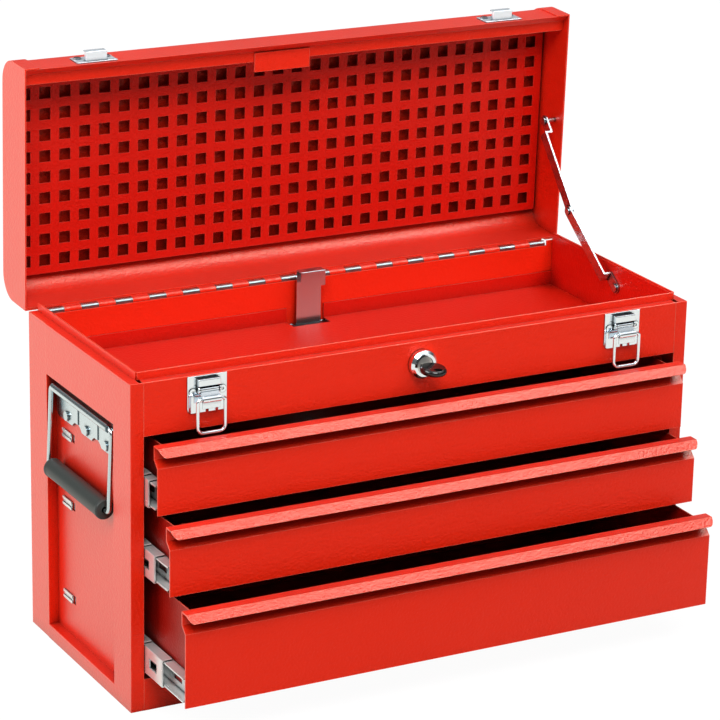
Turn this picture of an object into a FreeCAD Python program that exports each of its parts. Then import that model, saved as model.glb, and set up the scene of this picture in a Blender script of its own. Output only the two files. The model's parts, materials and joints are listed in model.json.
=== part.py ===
import FreeCAD
import Part
import Sketcher
import math
import os
import re

# Steel toolbox with a lid tray and three drawers on slides, lid open and drawers partly out.
# Frame: origin at the centre of the footprint, +X to the right, front towards -Y, +Z up.

Vector = FreeCAD.Vector

SIZES = {
    # case
    "case_width": 520,
    "case_depth": 206,
    "case_height": 281,
    "sheet": 1.2,
    "post_width": 11.4,
    "header_height": 45,
    "sill_height": 28,
    "ledge_width": 8,
    "lip_height": 6.5,
    "header_return": 8,
    "ear_reach": 9,
    "ear_margin": 2.4,
    "overrun": 2,
    # recessed side field
    "recess_depth": 9,
    "recess_front_land": 34,
    "wrap_length": 36,
    "recess_top_land": 44,
    "recess_bottom_land": 12.5,
    "lap_length": 12,
    "hinge_land": 16,
    "hinge_drop": 4.7,
    # lid tray pan
    "tray_upstand": 12.6,
    "tray_lip_drop": 1.2,
    "notch_left": 19.5,
    "notch_right": 16.7,
    "notch_depth": 14,
    # slide tabs
    "tab_length": 18,
    "tab_height": 7.5,
    "tab_raise": 1.6,
    "tab_groove": 2.4,
    "tab_back": 60,
    "tab_slot": 5,
    # drawers
    "drawer_gap": 3.3,
    "shallow_front": 57,
    "front_side_gap": 2.6,
    "lip_zone": 17.5,
    "finger_recess": 6.3,
    "lip_flat": 1.8,
    "lip_run": 5.7,
    "lip_drop": 6.1,
    "lip_corner_radius": 6.9,
    "front_flange": 11,
    "bend_share": 0.4142,
    "drawer_sheet": 1,
    "side_setback": 11,
    "side_drop": 2.5,
    "tray_lift": 2.2,
    "drawer_back_gap": 11,
    "back_wall_drop": 17,
    "pull_top": 20.5,
    "pull_middle": 43.5,
    "pull_bottom": 72.5,
    # slides
    "slide_thickness": 12.7,
    "slide_height": 27,
    "slide_sheet": 1.2,
    "slide_gap": 0.35,
    "slide_length": 186,
    "slide_setback": 3,
    "slide_rise": 14.5,
    "slide_open_edge": 2.2,
    "keyhole_length": 14,
    "keyhole_height": 8,
    "keyhole_setback": 10,
    # piano hinge
    "knuckle_radius": 2.9,
    "hinge_pin_radius": 1.5,
    "hinge_axis_drop": 3.8,
    "hinge_leaf": 1,
    "hinge_leaf_height": 16,
    "hinge_end": 17,
    "knuckle_count": 31,
    "knuckle_gap": 0.3,
    "running_fit": 0.05,
    # lid
    "lid_turn": 88.3,
    "lid_gap": 0.5,
    "lid_height": 47,
    "lid_radius": 20,
    "cap_flange": 13,
    "hem_inset": 6.5,
    "hem_rise": 8.4,
    "hem_depth": 15,
    "hem_bend_share": 0.5,
    "hem_foot_share": 2.93,
    "cap_rear_room": 1.2,
    "panel_end_gap": 2,
    "panel_standoff": 38,
    "panel_back": 16,
    "panel_front": 19,
    "panel_columns": 28,
    "panel_rows": 9,
    "panel_side_margin": 3.4,
    "panel_front_margin": 3.65,
    "panel_back_margin": 2.65,
    "panel_hole_share": 0.56,
    "striker_left": 47.5,
    "striker_right": 5,
    "striker_front": 7,
    "striker_depth": 17,
    # strikes and latches
    "latch_inset": 66,
    "latch_width": 34.5,
    "latch_height": 31,
    "latch_drop": 0.5,
    "latch_sheet": 1.2,
    "latch_corner": 4,
    "cover_width": 19,
    "cover_height": 6,
    "cover_raise": 5,
    "cover_top_gap": 2,
    "latch_rivet_offset": 13,
    "latch_rivet_drop": 13,
    "rivet_radius": 3,
    "rivet_hole_radius": 1.2,
    "rivet_raise": 1,
    "lever_pivot_out": 3.3,
    "lever_pivot_drop": 11,
    "lever_pin_radius": 1.1,
    "lever_roll_radius": 2,
    "lever_width": 16,
    "lever_sheet": 1,
    "lever_out": 4.6,
    "lever_fall": 6.7,
    "lever_barrel_radius": 2.7,
    "lever_tail": 5,
    "ear_sheet": 1.2,
    "ear_radius": 2.6,
    "ear_clearance": 0.4,
    "bail_radius": 1.5,
    "bail_width": 24,
    "bail_length": 28,
    "bail_bend": 2.6,
    "bail_corner": 5,
    "bail_seat": 0.2,
    "bail_joint_gap": 1,
    "strike_width": 36,
    "strike_height": 17,
    "strike_rise": 3,
    "hook_width": 19,
    "hook_raise": 8,
    "hook_body": 4,
    "hook_lip": 3,
    "hook_foot": 2,
    "strike_rivet_drop": 4.5,
    # lock
    "lock_drop": 18.5,
    "lock_ring_radius": 12,
    "lock_ring_raise": 8,
    "lock_ring_bevel": 2.2,
    "lock_body_radius": 9.5,
    "plug_radius": 7.4,
    "plug_recess": 1,
    "lock_body_length": 22,
    "lock_nut_width": 27,
    "lock_nut_thickness": 3,
    "keyway_height": 2.6,
    "keyway_width": 8.4,
    "key_height": 2,
    "key_width": 7.8,
    "key_depth": 15,
    "key_shoulder": 3,
    "bow_length": 26,
    "bow_width": 21,
    "bow_height": 5.5,
    "bow_hole": 3.4,
    "bow_seat": 2,
    "cam_sheet": 2,
    "cam_width": 9,
    "cam_foot": 6,
    "cam_clearance": 0.8,
    "cam_screw_radius": 4,
    "cam_screw_height": 3,
    # drawer lock bar
    "bar_left": 12.1,
    "bar_right": 11.6,
    "bar_sheet": 1.2,
    "bar_back_gap": 4.2,
    "bar_rise": 6,
    "bar_foot_gap": 14,
    "bar_hook_reach": 8.4,
    "bar_hook_fall": 13.7,
    "bar_travel": 7.5,
    "finger_reach": 11.4,
    "finger_fall": 7.4,
    "finger_clearance": 1,
    "finger_width": 12,
    "guide_height": 13,
    "guide_flange": 10,
    "guide_gap": 0.3,
    # handles
    "barrel_length": 112,
    "barrel_radius": 3.6,
    "barrel_out": 6.7,
    "barrel_drop": 52,
    "bracket_sheet": 1.8,
    "bracket_length": 122,
    "bracket_height": 30,
    "scallop_radius": 12,
    "scallop_depth": 5,
    "handle_rivet_offset": 39.6,
    "handle_rivet_drop": 21,
    "handle_rivet_radius": 4,
    "handle_rivet_raise": 1.8,
    "bracket_step": 0.8,
    "bracket_step_width": 7,
    "bracket_step_offset": 20,
    "handle_wire_radius": 2,
    "handle_arm_offset": 61.4,
    "handle_bend": 4.6,
    "handle_swing": 70,
    "handle_lean": 2.8,
    "grip_radius": 8.5,
    "grip_length": 108,
    "wire_end_gap": 2,
    # lid stay
    "stay_sheet": 1.5,
    "stay_width": 10,
    "stay_case_inset": 111,
    "stay_case_drop": 14,
    "stay_lid_u": 107,
    "stay_lid_v": 13.6,
    "stay_lower": 88,
    "stay_upper": 89.5,
    "stay_wall_gap": 0.3,
    "stay_jog": 7.3,
    "stay_tab": 14,
    "stay_pin_radius": 2,
    "stay_head_radius": 3.6,
    "stay_head": 1.5,
    "stay_rivet_radius": 3.2,
    "stay_rivet_raise": 1.2,
}

# places worked out from the sizes above, as formulas of the sheet
DERIVED = {
    "half_width": "case_width / 2",
    "front_face": "-case_depth / 2",
    "back_face": "case_depth / 2",
    "opening_top": "case_height - header_height",
    "opening_half": "half_width - post_width",
    "recess_face": "half_width - recess_depth",
    "wall_inside": "recess_face - sheet",
    "recess_front": "front_face + recess_front_land",
    "seam": "back_face - wrap_length",
    "recess_back": "seam - sheet",
    "recess_top": "case_height - recess_top_land",
    "tray_floor": "recess_top + sheet",
    "ledge_inside": "half_width - ledge_width",
    "lip_inside": "ledge_inside - sheet",
    "ledge_front": "front_face + ledge_width",
    "lip_front": "ledge_front + sheet",
    "back_inside": "back_face - sheet",
    "front_inside": "front_face + sheet",
    "lip_slant": "sqrt(lip_run * lip_run + lip_drop * lip_drop)",
    "lip_edge_back": "sheet * lip_drop / lip_slant",
    "lip_edge_drop": "sheet * lip_run / lip_slant",
    "lip_fold_back": "sheet * lip_drop / (lip_slant + lip_run)",
    "deep_front": "opening_top - sill_height - 2 * shallow_front - 4 * drawer_gap",
    "base_bottom": "sill_height + drawer_gap",
    "base_middle": "base_bottom + deep_front + drawer_gap",
    "base_top": "base_middle + shallow_front + drawer_gap",
    "front_half": "opening_half - front_side_gap",
    "tray_half": "wall_inside - slide_thickness",
    "tray_front": "front_face + finger_recess + sheet",
    "tray_back": "back_face - drawer_back_gap",
    "hinge_y": "back_face + knuckle_radius",
    "hinge_z": "case_height - hinge_axis_drop",
    "hinge_half": "half_width - hinge_end",
    "knuckle_pitch": "2 * hinge_half / knuckle_count",
    "lid_foot": "case_height + lid_gap",
    "lid_top": "lid_foot + lid_height",
    "lid_shift_y": "hinge_y - cos(lid_turn) * hinge_y - sin(lid_turn) * hinge_z",
    "lid_shift_z": "hinge_z + sin(lid_turn) * hinge_y - cos(lid_turn) * hinge_z",
    "panel_half": "half_width - sheet - panel_end_gap",
    "panel_depth": "case_depth - panel_front - panel_back",
    "panel_pitch_x": "2 * (panel_half - panel_side_margin) / panel_columns",
    "panel_pitch_y": "(panel_depth - panel_front_margin - panel_back_margin) / panel_rows",
    "latch_offset": "half_width - latch_inset",
    "stay_case_y": "stay_case_inset - back_face",
    "latch_top": "case_height - latch_drop",
    "latch_face": "front_face - latch_sheet",
    "pivot_y": "latch_face - lever_pivot_out",
    "pivot_z": "latch_top - lever_pivot_drop",
    "barrel_y": "pivot_y - lever_out",
    "barrel_z": "pivot_z - lever_fall",
    "bail_bore": "bail_radius + running_fit",
    "lock_z": "case_height - lock_drop",
    "lock_face": "front_face - lock_ring_raise",
    "bar_y": "back_inside - bar_back_gap",
    "stay_wall": "lip_inside - sheet",
    "stay_pin_z": "case_height - stay_case_drop",
    "stay_top_y": "cos(lid_turn) * (back_face - stay_lid_u) + "
    "sin(lid_turn) * (lid_foot + stay_lid_v) + lid_shift_y",
    "stay_top_z": "cos(lid_turn) * (lid_foot + stay_lid_v) - "
    "sin(lid_turn) * (back_face - stay_lid_u) + lid_shift_z",
    "stay_reach_y": "stay_top_y + stay_case_y",
    "stay_reach_z": "stay_top_z - stay_pin_z",
    "stay_span": "sqrt(stay_reach_y ^ 2 + stay_reach_z ^ 2)",
    "stay_slope": "atan2(stay_reach_z; stay_reach_y)",
    "stay_low_bend": "acos((stay_lower ^ 2 + stay_span ^ 2 - stay_upper ^ 2) / (2 * stay_lower * stay_span))",
    "stay_high_bend": "acos((stay_upper ^ 2 + stay_span ^ 2 - stay_lower ^ 2) / (2 * stay_upper * stay_span))",
    "handle_x": "half_width - recess_depth + barrel_out",
    "handle_z": "case_height - barrel_drop",
}

document = FreeCAD.newDocument("Toolbox")
sheet = document.addObject("Spreadsheet::Sheet", "Sizes")
for row, (alias, content) in enumerate({**SIZES, **{a: "=" + f for a, f in DERIVED.items()}}.items(), 1):
    sheet.set(f"A{row}", alias)
    sheet.set(f"B{row}", str(content))
    sheet.setAlias(f"B{row}", alias)
document.recompute()
ALIASES = set(SIZES) | set(DERIVED)
KEPT = []


def linked(text):
    """Write an expression with every size pointing at its cell."""
    return re.sub(
        r"[a-z]\w*",
        lambda found: "Sizes." + found.group() if found.group() in ALIASES else found.group(),
        str(text),
    )


def number(text):
    """Read the present value of an expression of sizes."""
    return float(sheet.evalExpression(str(text)))


def bind(item, prop, text):
    """Tie a property of an object to an expression of sizes."""
    item.setExpression(prop, linked(text))


def keep(item, label):
    """Name a finished piece and put it on the list of pieces to write."""
    item.Label = label
    KEPT.append(item)
    return item


def box(name, x, y, z):
    """Make a block between low and high expressions along each axis."""
    made = document.addObject("Part::Box", name)
    for prop, axis, (low, high) in zip(("Length", "Width", "Height"), "xyz", (x, y, z)):
        bind(made, prop, f"({high}) - ({low})")
        bind(made, f".Placement.Base.{axis}", low)
    return made


TURNS = {
    "x": FreeCAD.Rotation(Vector(0, 1, 0), 90),
    "y": FreeCAD.Rotation(Vector(1, 0, 0), -90),
    "z": FreeCAD.Rotation(),
}


def rod(name, axis, span, centre, radius, top=None):
    """Make a cylinder or cone along an axis, centred on two expressions of the other axes."""
    made = document.addObject("Part::Cylinder" if top is None else "Part::Cone", name)
    made.Placement = FreeCAD.Placement(Vector(0, 0, 0), TURNS[axis])
    bind(made, "Height", f"({span[1]}) - ({span[0]})")
    if top is None:
        bind(made, "Radius", radius)
    else:
        bind(made, "Radius1", radius)
        bind(made, "Radius2", top)
    places = list(centre)
    places.insert("xyz".index(axis), span[0])
    for letter, place in zip("xyz", places):
        bind(made, f".Placement.Base.{letter}", place)
    return made


def fuse(name, items):
    """Join items into one shape."""
    made = document.addObject("Part::MultiFuse", name)
    made.Shapes = items
    made.Refine = True
    return made


def group(name, items):
    """Hold separate solids in one piece."""
    made = document.addObject("Part::Compound", name)
    made.Links = items
    return made


def cut(name, base, tools):
    """Take one or more tools out of a base."""
    made = document.addObject("Part::Cut", name)
    made.Base = base
    made.Tool = tools[0] if len(tools) == 1 else fuse(name + "_tools", tools)
    made.Refine = True
    return made


def sided(side, low, high):
    """Mirror a pair of X limits for the left side."""
    return (low, high) if side > 0 else (f"-({high})", f"-({low})")


def outline(sketch, points):
    """Draw a closed outline, each point tied to the sizes; a third value rounds a square corner."""
    corners = [Vector(number(a), number(b), 0) for a, b, *_ in points]
    count = len(points)
    ends = []
    for i, (across, along, *radius) in enumerate(points):
        if not radius:
            ends.append([(across, along)] * 2)
            continue
        back = (corners[i - 1] - corners[i]).normalize()
        ahead = (corners[(i + 1) % count] - corners[i]).normalize()
        shifts = [(round(way.x), round(way.y)) for way in (back, ahead, back + ahead)]
        first = radius[0]
        ends.append([(f"{across} + ({x}) * ({first})", f"{along} + ({y}) * ({first})") for x, y in shifts])
    places = [[Vector(number(x), number(y), 0) for x, y in group] for group in ends]
    lines = [
        sketch.addGeometry(Part.LineSegment(places[i][1], places[(i + 1) % count][0]), False)
        for i in range(count)
    ]
    rules = []
    ties = []

    def hold(item, spot, texts, place):
        """Tie one point of the sketch to a pair of expressions."""
        for kind, text, value in zip(("DistanceX", "DistanceY"), texts, (place.x, place.y)):
            ties.append((len(rules), text))
            rules.append(Sketcher.Constraint(kind, -1, 1, item, spot, value))

    for i in range(count):
        before = lines[i - 1]
        after = lines[i]
        hold(after, 1, ends[i][1], places[i][1])
        if len(ends[i]) == 2:
            rules.append(Sketcher.Constraint("Coincident", before, 2, after, 1))
            continue
        start, stop, centre = places[i]
        forward = (start - centre).cross(stop - centre).z > 0
        first, last = (1, 2) if forward else (2, 1)
        angles = [math.atan2(place.y - centre.y, place.x - centre.x) for place in (start, stop)]
        if not forward:
            angles.reverse()
        circle = Part.Circle(centre, Vector(0, 0, 1), (start - centre).Length)
        arc = sketch.addGeometry(Part.ArcOfCircle(circle, *angles), False)
        hold(before, 2, ends[i][0], start)
        rules.append(Sketcher.Constraint("Coincident", before, 2, arc, first))
        rules.append(Sketcher.Constraint("Coincident", arc, last, after, 1))
        ties.append((len(rules), ends[i][2][0]))
        rules.append(Sketcher.Constraint("DistanceX", -1, 1, arc, 3, centre.x))
    sketch.addConstraint(rules)
    for index, text in ties:
        bind(sketch, f"Constraints[{index}]", text)


def profile(name, role, points, low, high):
    """Pad a closed outline between two expressions along the normal of an origin plane."""
    body = document.addObject("PartDesign::Body", name)
    sketch = body.newObject("Sketcher::SketchObject", name + "_outline")
    plane = [feature for feature in body.Origin.OriginFeatures if feature.Role == role][0]
    sketch.AttachmentSupport = [(plane, "")]
    sketch.MapMode = "FlatFace"
    outline(sketch, points)
    pad = body.newObject("PartDesign::Pad", name + "_pad")
    pad.Profile = sketch
    bind(pad, "Length", f"({high}) - ({low})")
    body.Tip = pad
    if role == "YZ_Plane":
        bind(body, ".Placement.Base.x", low)
    if role == "XZ_Plane":
        bind(body, ".Placement.Base.y", high)
    if role == "XY_Plane":
        bind(body, ".Placement.Base.z", low)
    return body


def open_lid(item):
    """Swing a piece that was made on the closed lid into the open pose."""
    item.Placement = FreeCAD.Placement(Vector(0, 0, 0), FreeCAD.Rotation(Vector(-1, 0, 0), 1))
    bind(item, ".Placement.Rotation.Angle", "lid_turn")
    bind(item, ".Placement.Base.y", "lid_shift_y")
    bind(item, ".Placement.Base.z", "lid_shift_z")
    return item


def wire_shape(points, bends, radius):
    """Bend a round wire along points, with one bend radius for each inner point."""
    path = []
    start = points[0]
    for before, corner, after, bend in zip(points, points[1:], points[2:], bends):
        back = (before - corner).normalize()
        ahead = (after - corner).normalize()
        half = back.getAngle(ahead) / 2
        reach = bend / math.tan(half)
        middle = corner + (back + ahead).normalize() * (bend / math.sin(half) - bend)
        path.append(Part.LineSegment(start, corner + back * reach).toShape())
        path.append(Part.Arc(corner + back * reach, middle, corner + ahead * reach).toShape())
        start = corner + ahead * reach
    path.append(Part.LineSegment(start, points[-1]).toShape())
    circle = Part.Circle(points[0], points[1] - points[0], radius).toShape()
    return Part.Wire(path).makePipeShell([Part.Wire([circle])], True, False)


def make_side(side, word):
    """Pressed side panel with recess, corner post, top ledge and rim lip."""
    tag = "side_" + word
    main = fuse(
        tag + "_block",
        [
            box(
                tag + "_front",
                sided(side, "wall_inside", "half_width"),
                ("front_face", "seam"),
                ("0", "case_height"),
            ),
            box(
                tag + "_rear",
                sided(side, "wall_inside", "half_width - sheet"),
                ("seam", "back_inside"),
                ("0", "case_height"),
            ),
        ],
    )
    pressed = cut(
        tag + "_pressed",
        main,
        [
            box(
                tag + "_recess",
                sided(side, "recess_face", "half_width + overrun"),
                ("recess_front", "recess_back"),
                ("recess_bottom_land", "recess_top"),
            )
        ],
    )
    hollow = fuse(
        tag + "_hollow_block",
        [
            box(
                tag + "_hollow_front",
                sided(side, "wall_inside - overrun", "half_width - sheet"),
                ("front_inside", "recess_back"),
                ("-overrun", "case_height - sheet"),
            ),
            box(
                tag + "_hollow_rear",
                sided(side, "wall_inside - overrun", "half_width - 2 * sheet"),
                ("recess_back", "back_inside + overrun"),
                ("-overrun", "case_height - sheet"),
            ),
        ],
    )
    field = box(
        tag + "_field",
        sided(side, "wall_inside - 2 * overrun", "half_width + overrun"),
        ("recess_front - sheet", "recess_back + sheet"),
        ("recess_bottom_land - sheet", "recess_top + sheet"),
    )
    lap_end = box(
        tag + "_lap_end",
        sided(side, "half_width - 3 * sheet", "half_width + overrun"),
        ("seam + lap_length", "back_face"),
        ("-overrun", "case_height - 2 * sheet"),
    )
    ledge_end = box(
        tag + "_ledge_end",
        sided(side, "wall_inside - overrun", "ledge_inside"),
        ("front_face - overrun", "back_face"),
        ("case_height - 2 * sheet", "case_height + overrun"),
    )
    slots = []
    for level, base in zip(("top", "middle", "bottom"), ("base_top", "base_middle", "base_bottom")):
        slots.append(
            box(
                f"{tag}_slot_{level}",
                sided(side, "wall_inside - overrun", "recess_face + overrun"),
                (
                    "back_face - tab_back - tab_length / 2 - tab_slot",
                    "back_face - tab_back - tab_length / 2",
                ),
                (f"{base} + slide_rise - tab_height / 2", f"{base} + slide_rise + tab_height / 2"),
            )
        )
    inner = cut(tag + "_hollow", hollow, [field])
    shell = cut(tag + "_shell", pressed, [inner, ledge_end, lap_end] + slots)
    extras = [
        box(
            tag + "_lip",
            sided(side, "lip_inside", "ledge_inside"),
            ("lip_front", "back_inside"),
            ("case_height - sheet", "case_height + lip_height"),
        ),
        box(
            tag + "_post",
            sided(side, "opening_half", "half_width - sheet"),
            ("front_face", "front_inside"),
            ("0", "case_height"),
        ),
    ]
    keep(fuse(tag + "_formed", [shell] + extras), "side_panel_" + word)


def make_case():
    """Case shell: sides, rear, header, base, lid tray pan."""
    make_side(-1, "left")
    make_side(1, "right")
    rear = fuse(
        "rear_plates",
        [
            box(
                "rear_plate",
                ("-half_width", "half_width"),
                ("back_inside", "back_face"),
                ("0", "case_height"),
            ),
            box(
                "rear_wrap_left",
                ("-half_width", "sheet - half_width"),
                ("seam", "back_face"),
                ("0", "case_height"),
            ),
            box(
                "rear_wrap_right",
                ("half_width - sheet", "half_width"),
                ("seam", "back_face"),
                ("0", "case_height"),
            ),
        ],
    )
    hinge_notch = box(
        "rear_notch",
        ("hinge_land - half_width", "half_width - hinge_land"),
        ("back_inside - overrun", "back_face + overrun"),
        ("case_height - hinge_drop", "case_height + overrun"),
    )
    keep(cut("rear", rear, [hinge_notch]), "rear_panel")

    header = fuse(
        "header",
        [
            profile(
                "header_profile",
                "YZ_Plane",
                [
                    ("front_face", "opening_top"),
                    ("front_face + header_return", "opening_top"),
                    ("front_face + header_return", "opening_top + sheet"),
                    ("front_inside", "opening_top + sheet"),
                    ("front_inside", "case_height - sheet"),
                    ("lip_front", "case_height - sheet"),
                    ("lip_front", "case_height + lip_height"),
                    ("ledge_front", "case_height + lip_height"),
                    ("ledge_front", "case_height"),
                    ("front_face", "case_height"),
                ],
                "-opening_half",
                "opening_half",
            ),
            box(
                "header_ears",
                ("-opening_half - ear_reach", "opening_half + ear_reach"),
                ("front_inside", "front_inside + sheet"),
                ("opening_top + sheet + ear_margin", "case_height - sheet - ear_margin"),
            ),
            box(
                "header_lip_ends",
                ("-lip_inside", "lip_inside"),
                ("ledge_front", "lip_front"),
                ("case_height", "case_height + lip_height"),
            ),
        ],
    )
    lock_hole = rod(
        "header_lock_hole",
        "y",
        ("front_face - overrun", "lip_front + overrun"),
        ("0", "lock_z"),
        "lock_body_radius",
    )
    keep(cut("header_cut", header, [lock_hole]), "front_panel")

    keep(
        fuse(
            "base",
            [
                profile(
                    "base_profile",
                    "YZ_Plane",
                    [
                        ("front_face", "0"),
                        ("back_inside", "0"),
                        ("back_inside", "sill_height - recess_bottom_land"),
                        ("back_inside - sheet", "sill_height - recess_bottom_land"),
                        ("back_inside - sheet", "sheet"),
                        ("front_inside", "sheet"),
                        ("front_inside", "sill_height - sheet"),
                        ("front_face + header_return", "sill_height - sheet"),
                        ("front_face + header_return", "sill_height"),
                        ("front_face", "sill_height"),
                    ],
                    "-opening_half",
                    "opening_half",
                ),
                box(
                    "base_floor",
                    ("2 * sheet - half_width", "half_width - 2 * sheet"),
                    ("front_inside", "back_inside"),
                    ("0", "sheet"),
                ),
                box(
                    "base_ears",
                    ("-opening_half - ear_reach", "opening_half + ear_reach"),
                    ("front_inside", "front_inside + sheet"),
                    ("sheet", "sill_height - sheet - ear_margin"),
                ),
            ],
        ),
        "base_panel",
    )

    pan = fuse(
        "pan_walls",
        [
            box(
                "pan_floor",
                ("-lip_inside", "lip_inside"),
                ("lip_front", "back_inside"),
                ("tray_floor", "tray_floor + sheet"),
            ),
            box(
                "pan_front",
                ("-lip_inside", "lip_inside"),
                ("lip_front", "lip_front + sheet"),
                ("tray_floor", "case_height + lip_height - tray_lip_drop"),
            ),
            box(
                "pan_left",
                ("-lip_inside", "sheet - lip_inside"),
                ("lip_front", "back_inside"),
                ("tray_floor", "case_height + lip_height - tray_lip_drop"),
            ),
            box(
                "pan_right",
                ("lip_inside - sheet", "lip_inside"),
                ("lip_front", "back_inside"),
                ("tray_floor", "case_height + lip_height - tray_lip_drop"),
            ),
            box(
                "pan_upstand",
                ("-lip_inside", "lip_inside"),
                ("back_inside - sheet", "back_inside"),
                ("tray_floor", "tray_floor + sheet + tray_upstand"),
            ),
        ],
    )
    notch = box(
        "pan_notch",
        ("-notch_left", "notch_right"),
        ("back_inside - sheet - notch_depth", "back_face"),
        ("tray_floor - overrun", "case_height"),
    )
    lock_room = rod(
        "pan_lock_hole",
        "y",
        ("lip_front - overrun", "lip_front + sheet + overrun"),
        ("0", "lock_z"),
        "lock_body_radius",
    )
    keep(cut("pan", pan, [notch, lock_room]), "tray_pan")


def make_tabs():
    """Slide retaining tabs that stand in the slots of the recessed fields."""
    tabs = []
    for side, word in ((-1, "left"), (1, "right")):
        for level in ("top", "middle", "bottom"):
            tag = f"tab_{word}_{level}"
            middle = f"base_{level} + slide_rise"
            plate = box(
                tag + "_plate",
                sided(side, "recess_face", "recess_face + tab_raise"),
                ("back_face - tab_back - tab_length / 2", "back_face - tab_back + tab_length / 2"),
                (f"{middle} - tab_height / 2", f"{middle} + tab_height / 2"),
            )
            groove = box(
                tag + "_groove",
                sided(side, "recess_face + tab_raise / 2", "recess_face + tab_raise + overrun"),
                (
                    "back_face - tab_back - tab_length / 2 - overrun",
                    "back_face - tab_back + tab_length / 2 + overrun",
                ),
                (f"{middle} - tab_groove / 2", f"{middle} + tab_groove / 2"),
            )
            tabs.append(cut(tag, plate, [groove]))
    keep(group("tabs", tabs), "slide_retaining_tabs")


def make_front(level, height, pull):
    """Folded drawer front with its finger lip, pulled out with the drawer."""
    tag = "front_" + level
    base = "base_" + level
    face = f"front_face - {pull}"
    top = f"{base} + {height}"
    bend = "sheet * bend_share"
    tip = f"{face} - lip_flat - lip_run"
    low = f"{top} - lip_drop - lip_edge_drop"
    body = profile(
        tag + "_fold",
        "YZ_Plane",
        [
            (face, base),
            (f"{face} + front_flange", base),
            (f"{face} + front_flange", f"{base} + sheet"),
            (f"{face} + sheet", f"{base} + sheet"),
            (f"{face} + sheet", f"{top} - lip_zone - {bend}"),
            (f"{face} + finger_recess + sheet", f"{top} - lip_zone + finger_recess - {bend}"),
            (f"{face} + finger_recess + sheet", top),
            (f"{face} - lip_flat", top),
            (tip, f"{top} - lip_drop"),
            (f"{tip} + lip_edge_back", f"{top} - lip_drop - lip_edge_drop"),
            (f"{face} - lip_flat + lip_fold_back", f"{top} - sheet"),
            (f"{face} + finger_recess", f"{top} - sheet"),
            (f"{face} + finger_recess", f"{top} - lip_zone + finger_recess"),
            (face, f"{top} - lip_zone"),
        ],
        "-front_half",
        "front_half",
    )
    tools = []
    for side, word in ((-1, "left"), (1, "right")):
        corner = box(
            f"{tag}_corner_{word}",
            sided(side, "front_half - lip_corner_radius", "front_half + overrun"),
            (f"{tip} - overrun", f"{face} - lip_flat"),
            (f"{low} - overrun", f"{low} + lip_corner_radius"),
        )
        centre = "front_half - lip_corner_radius" if side > 0 else "lip_corner_radius - front_half"
        round_off = rod(
            f"{tag}_round_{word}",
            "y",
            (f"{tip} - 2 * overrun", f"{face} + overrun"),
            (centre, f"{low} + lip_corner_radius"),
            "lip_corner_radius",
        )
        tools.append(cut(f"{tag}_clip_{word}", corner, [round_off]))
        tools.append(
            box(
                f"{tag}_relief_{word}",
                sided(side, "tray_half", "front_half + overrun"),
                (f"{face} + sheet", f"{face} + front_flange + overrun"),
                (f"{base} - overrun", f"{base} + sheet + overrun"),
            )
        )
    keep(cut(tag, body, tools), "drawer_front_" + level)


def make_tray(level, height, pull):
    """Sheet drawer tray behind its front."""
    tag = "tray_" + level
    base = f"base_{level} + tray_lift"
    top = f"base_{level} + {height} - side_drop"
    front = f"tray_front - {pull}"
    back = f"tray_back - {pull}"
    side_front = f"front_face + side_setback - {pull}"
    walls = [
        box(tag + "_floor", ("-tray_half", "tray_half"), (front, back), (base, f"{base} + drawer_sheet")),
        box(
            tag + "_front",
            ("-tray_half", "tray_half"),
            (front, f"{front} + drawer_sheet"),
            (base, f"{top} - lip_zone / 2"),
        ),
        box(tag + "_left", ("-tray_half", "drawer_sheet - tray_half"), (side_front, back), (base, top)),
        box(tag + "_right", ("tray_half - drawer_sheet", "tray_half"), (side_front, back), (base, top)),
        box(
            tag + "_back",
            ("-tray_half", "tray_half"),
            (f"{back} - drawer_sheet", back),
            (base, f"{top} - back_wall_drop"),
        ),
        box(
            tag + "_seat",
            ("-tray_half", "tray_half"),
            (front, f"{front} + drawer_sheet"),
            (f"base_{level} + sheet", f"{base} + drawer_sheet"),
        ),
    ]
    keep(fuse(tag, walls), "drawer_tray_" + level)


def channel(name, side, web, open_end, half, low, high, middle):
    """Slide member: a channel whose web and open edge are X limits measured from the middle plane."""
    outer = sorted([web, open_end], key=number)
    block = box(
        name + "_block", sided(side, *outer), (low, high), (f"{middle} - ({half})", f"{middle} + {half}"),
    )
    if number(web) > number(open_end):
        gap = (f"{open_end} - overrun", f"{web} - slide_sheet")
    else:
        gap = (f"{web} + slide_sheet", f"{open_end} + overrun")
    room = box(
        name + "_room",
        sided(side, *gap),
        (f"{low} - overrun", f"{high} + overrun"),
        (f"{middle} - ({half}) + slide_sheet", f"{middle} + {half} - slide_sheet"),
    )
    return block, room


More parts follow.
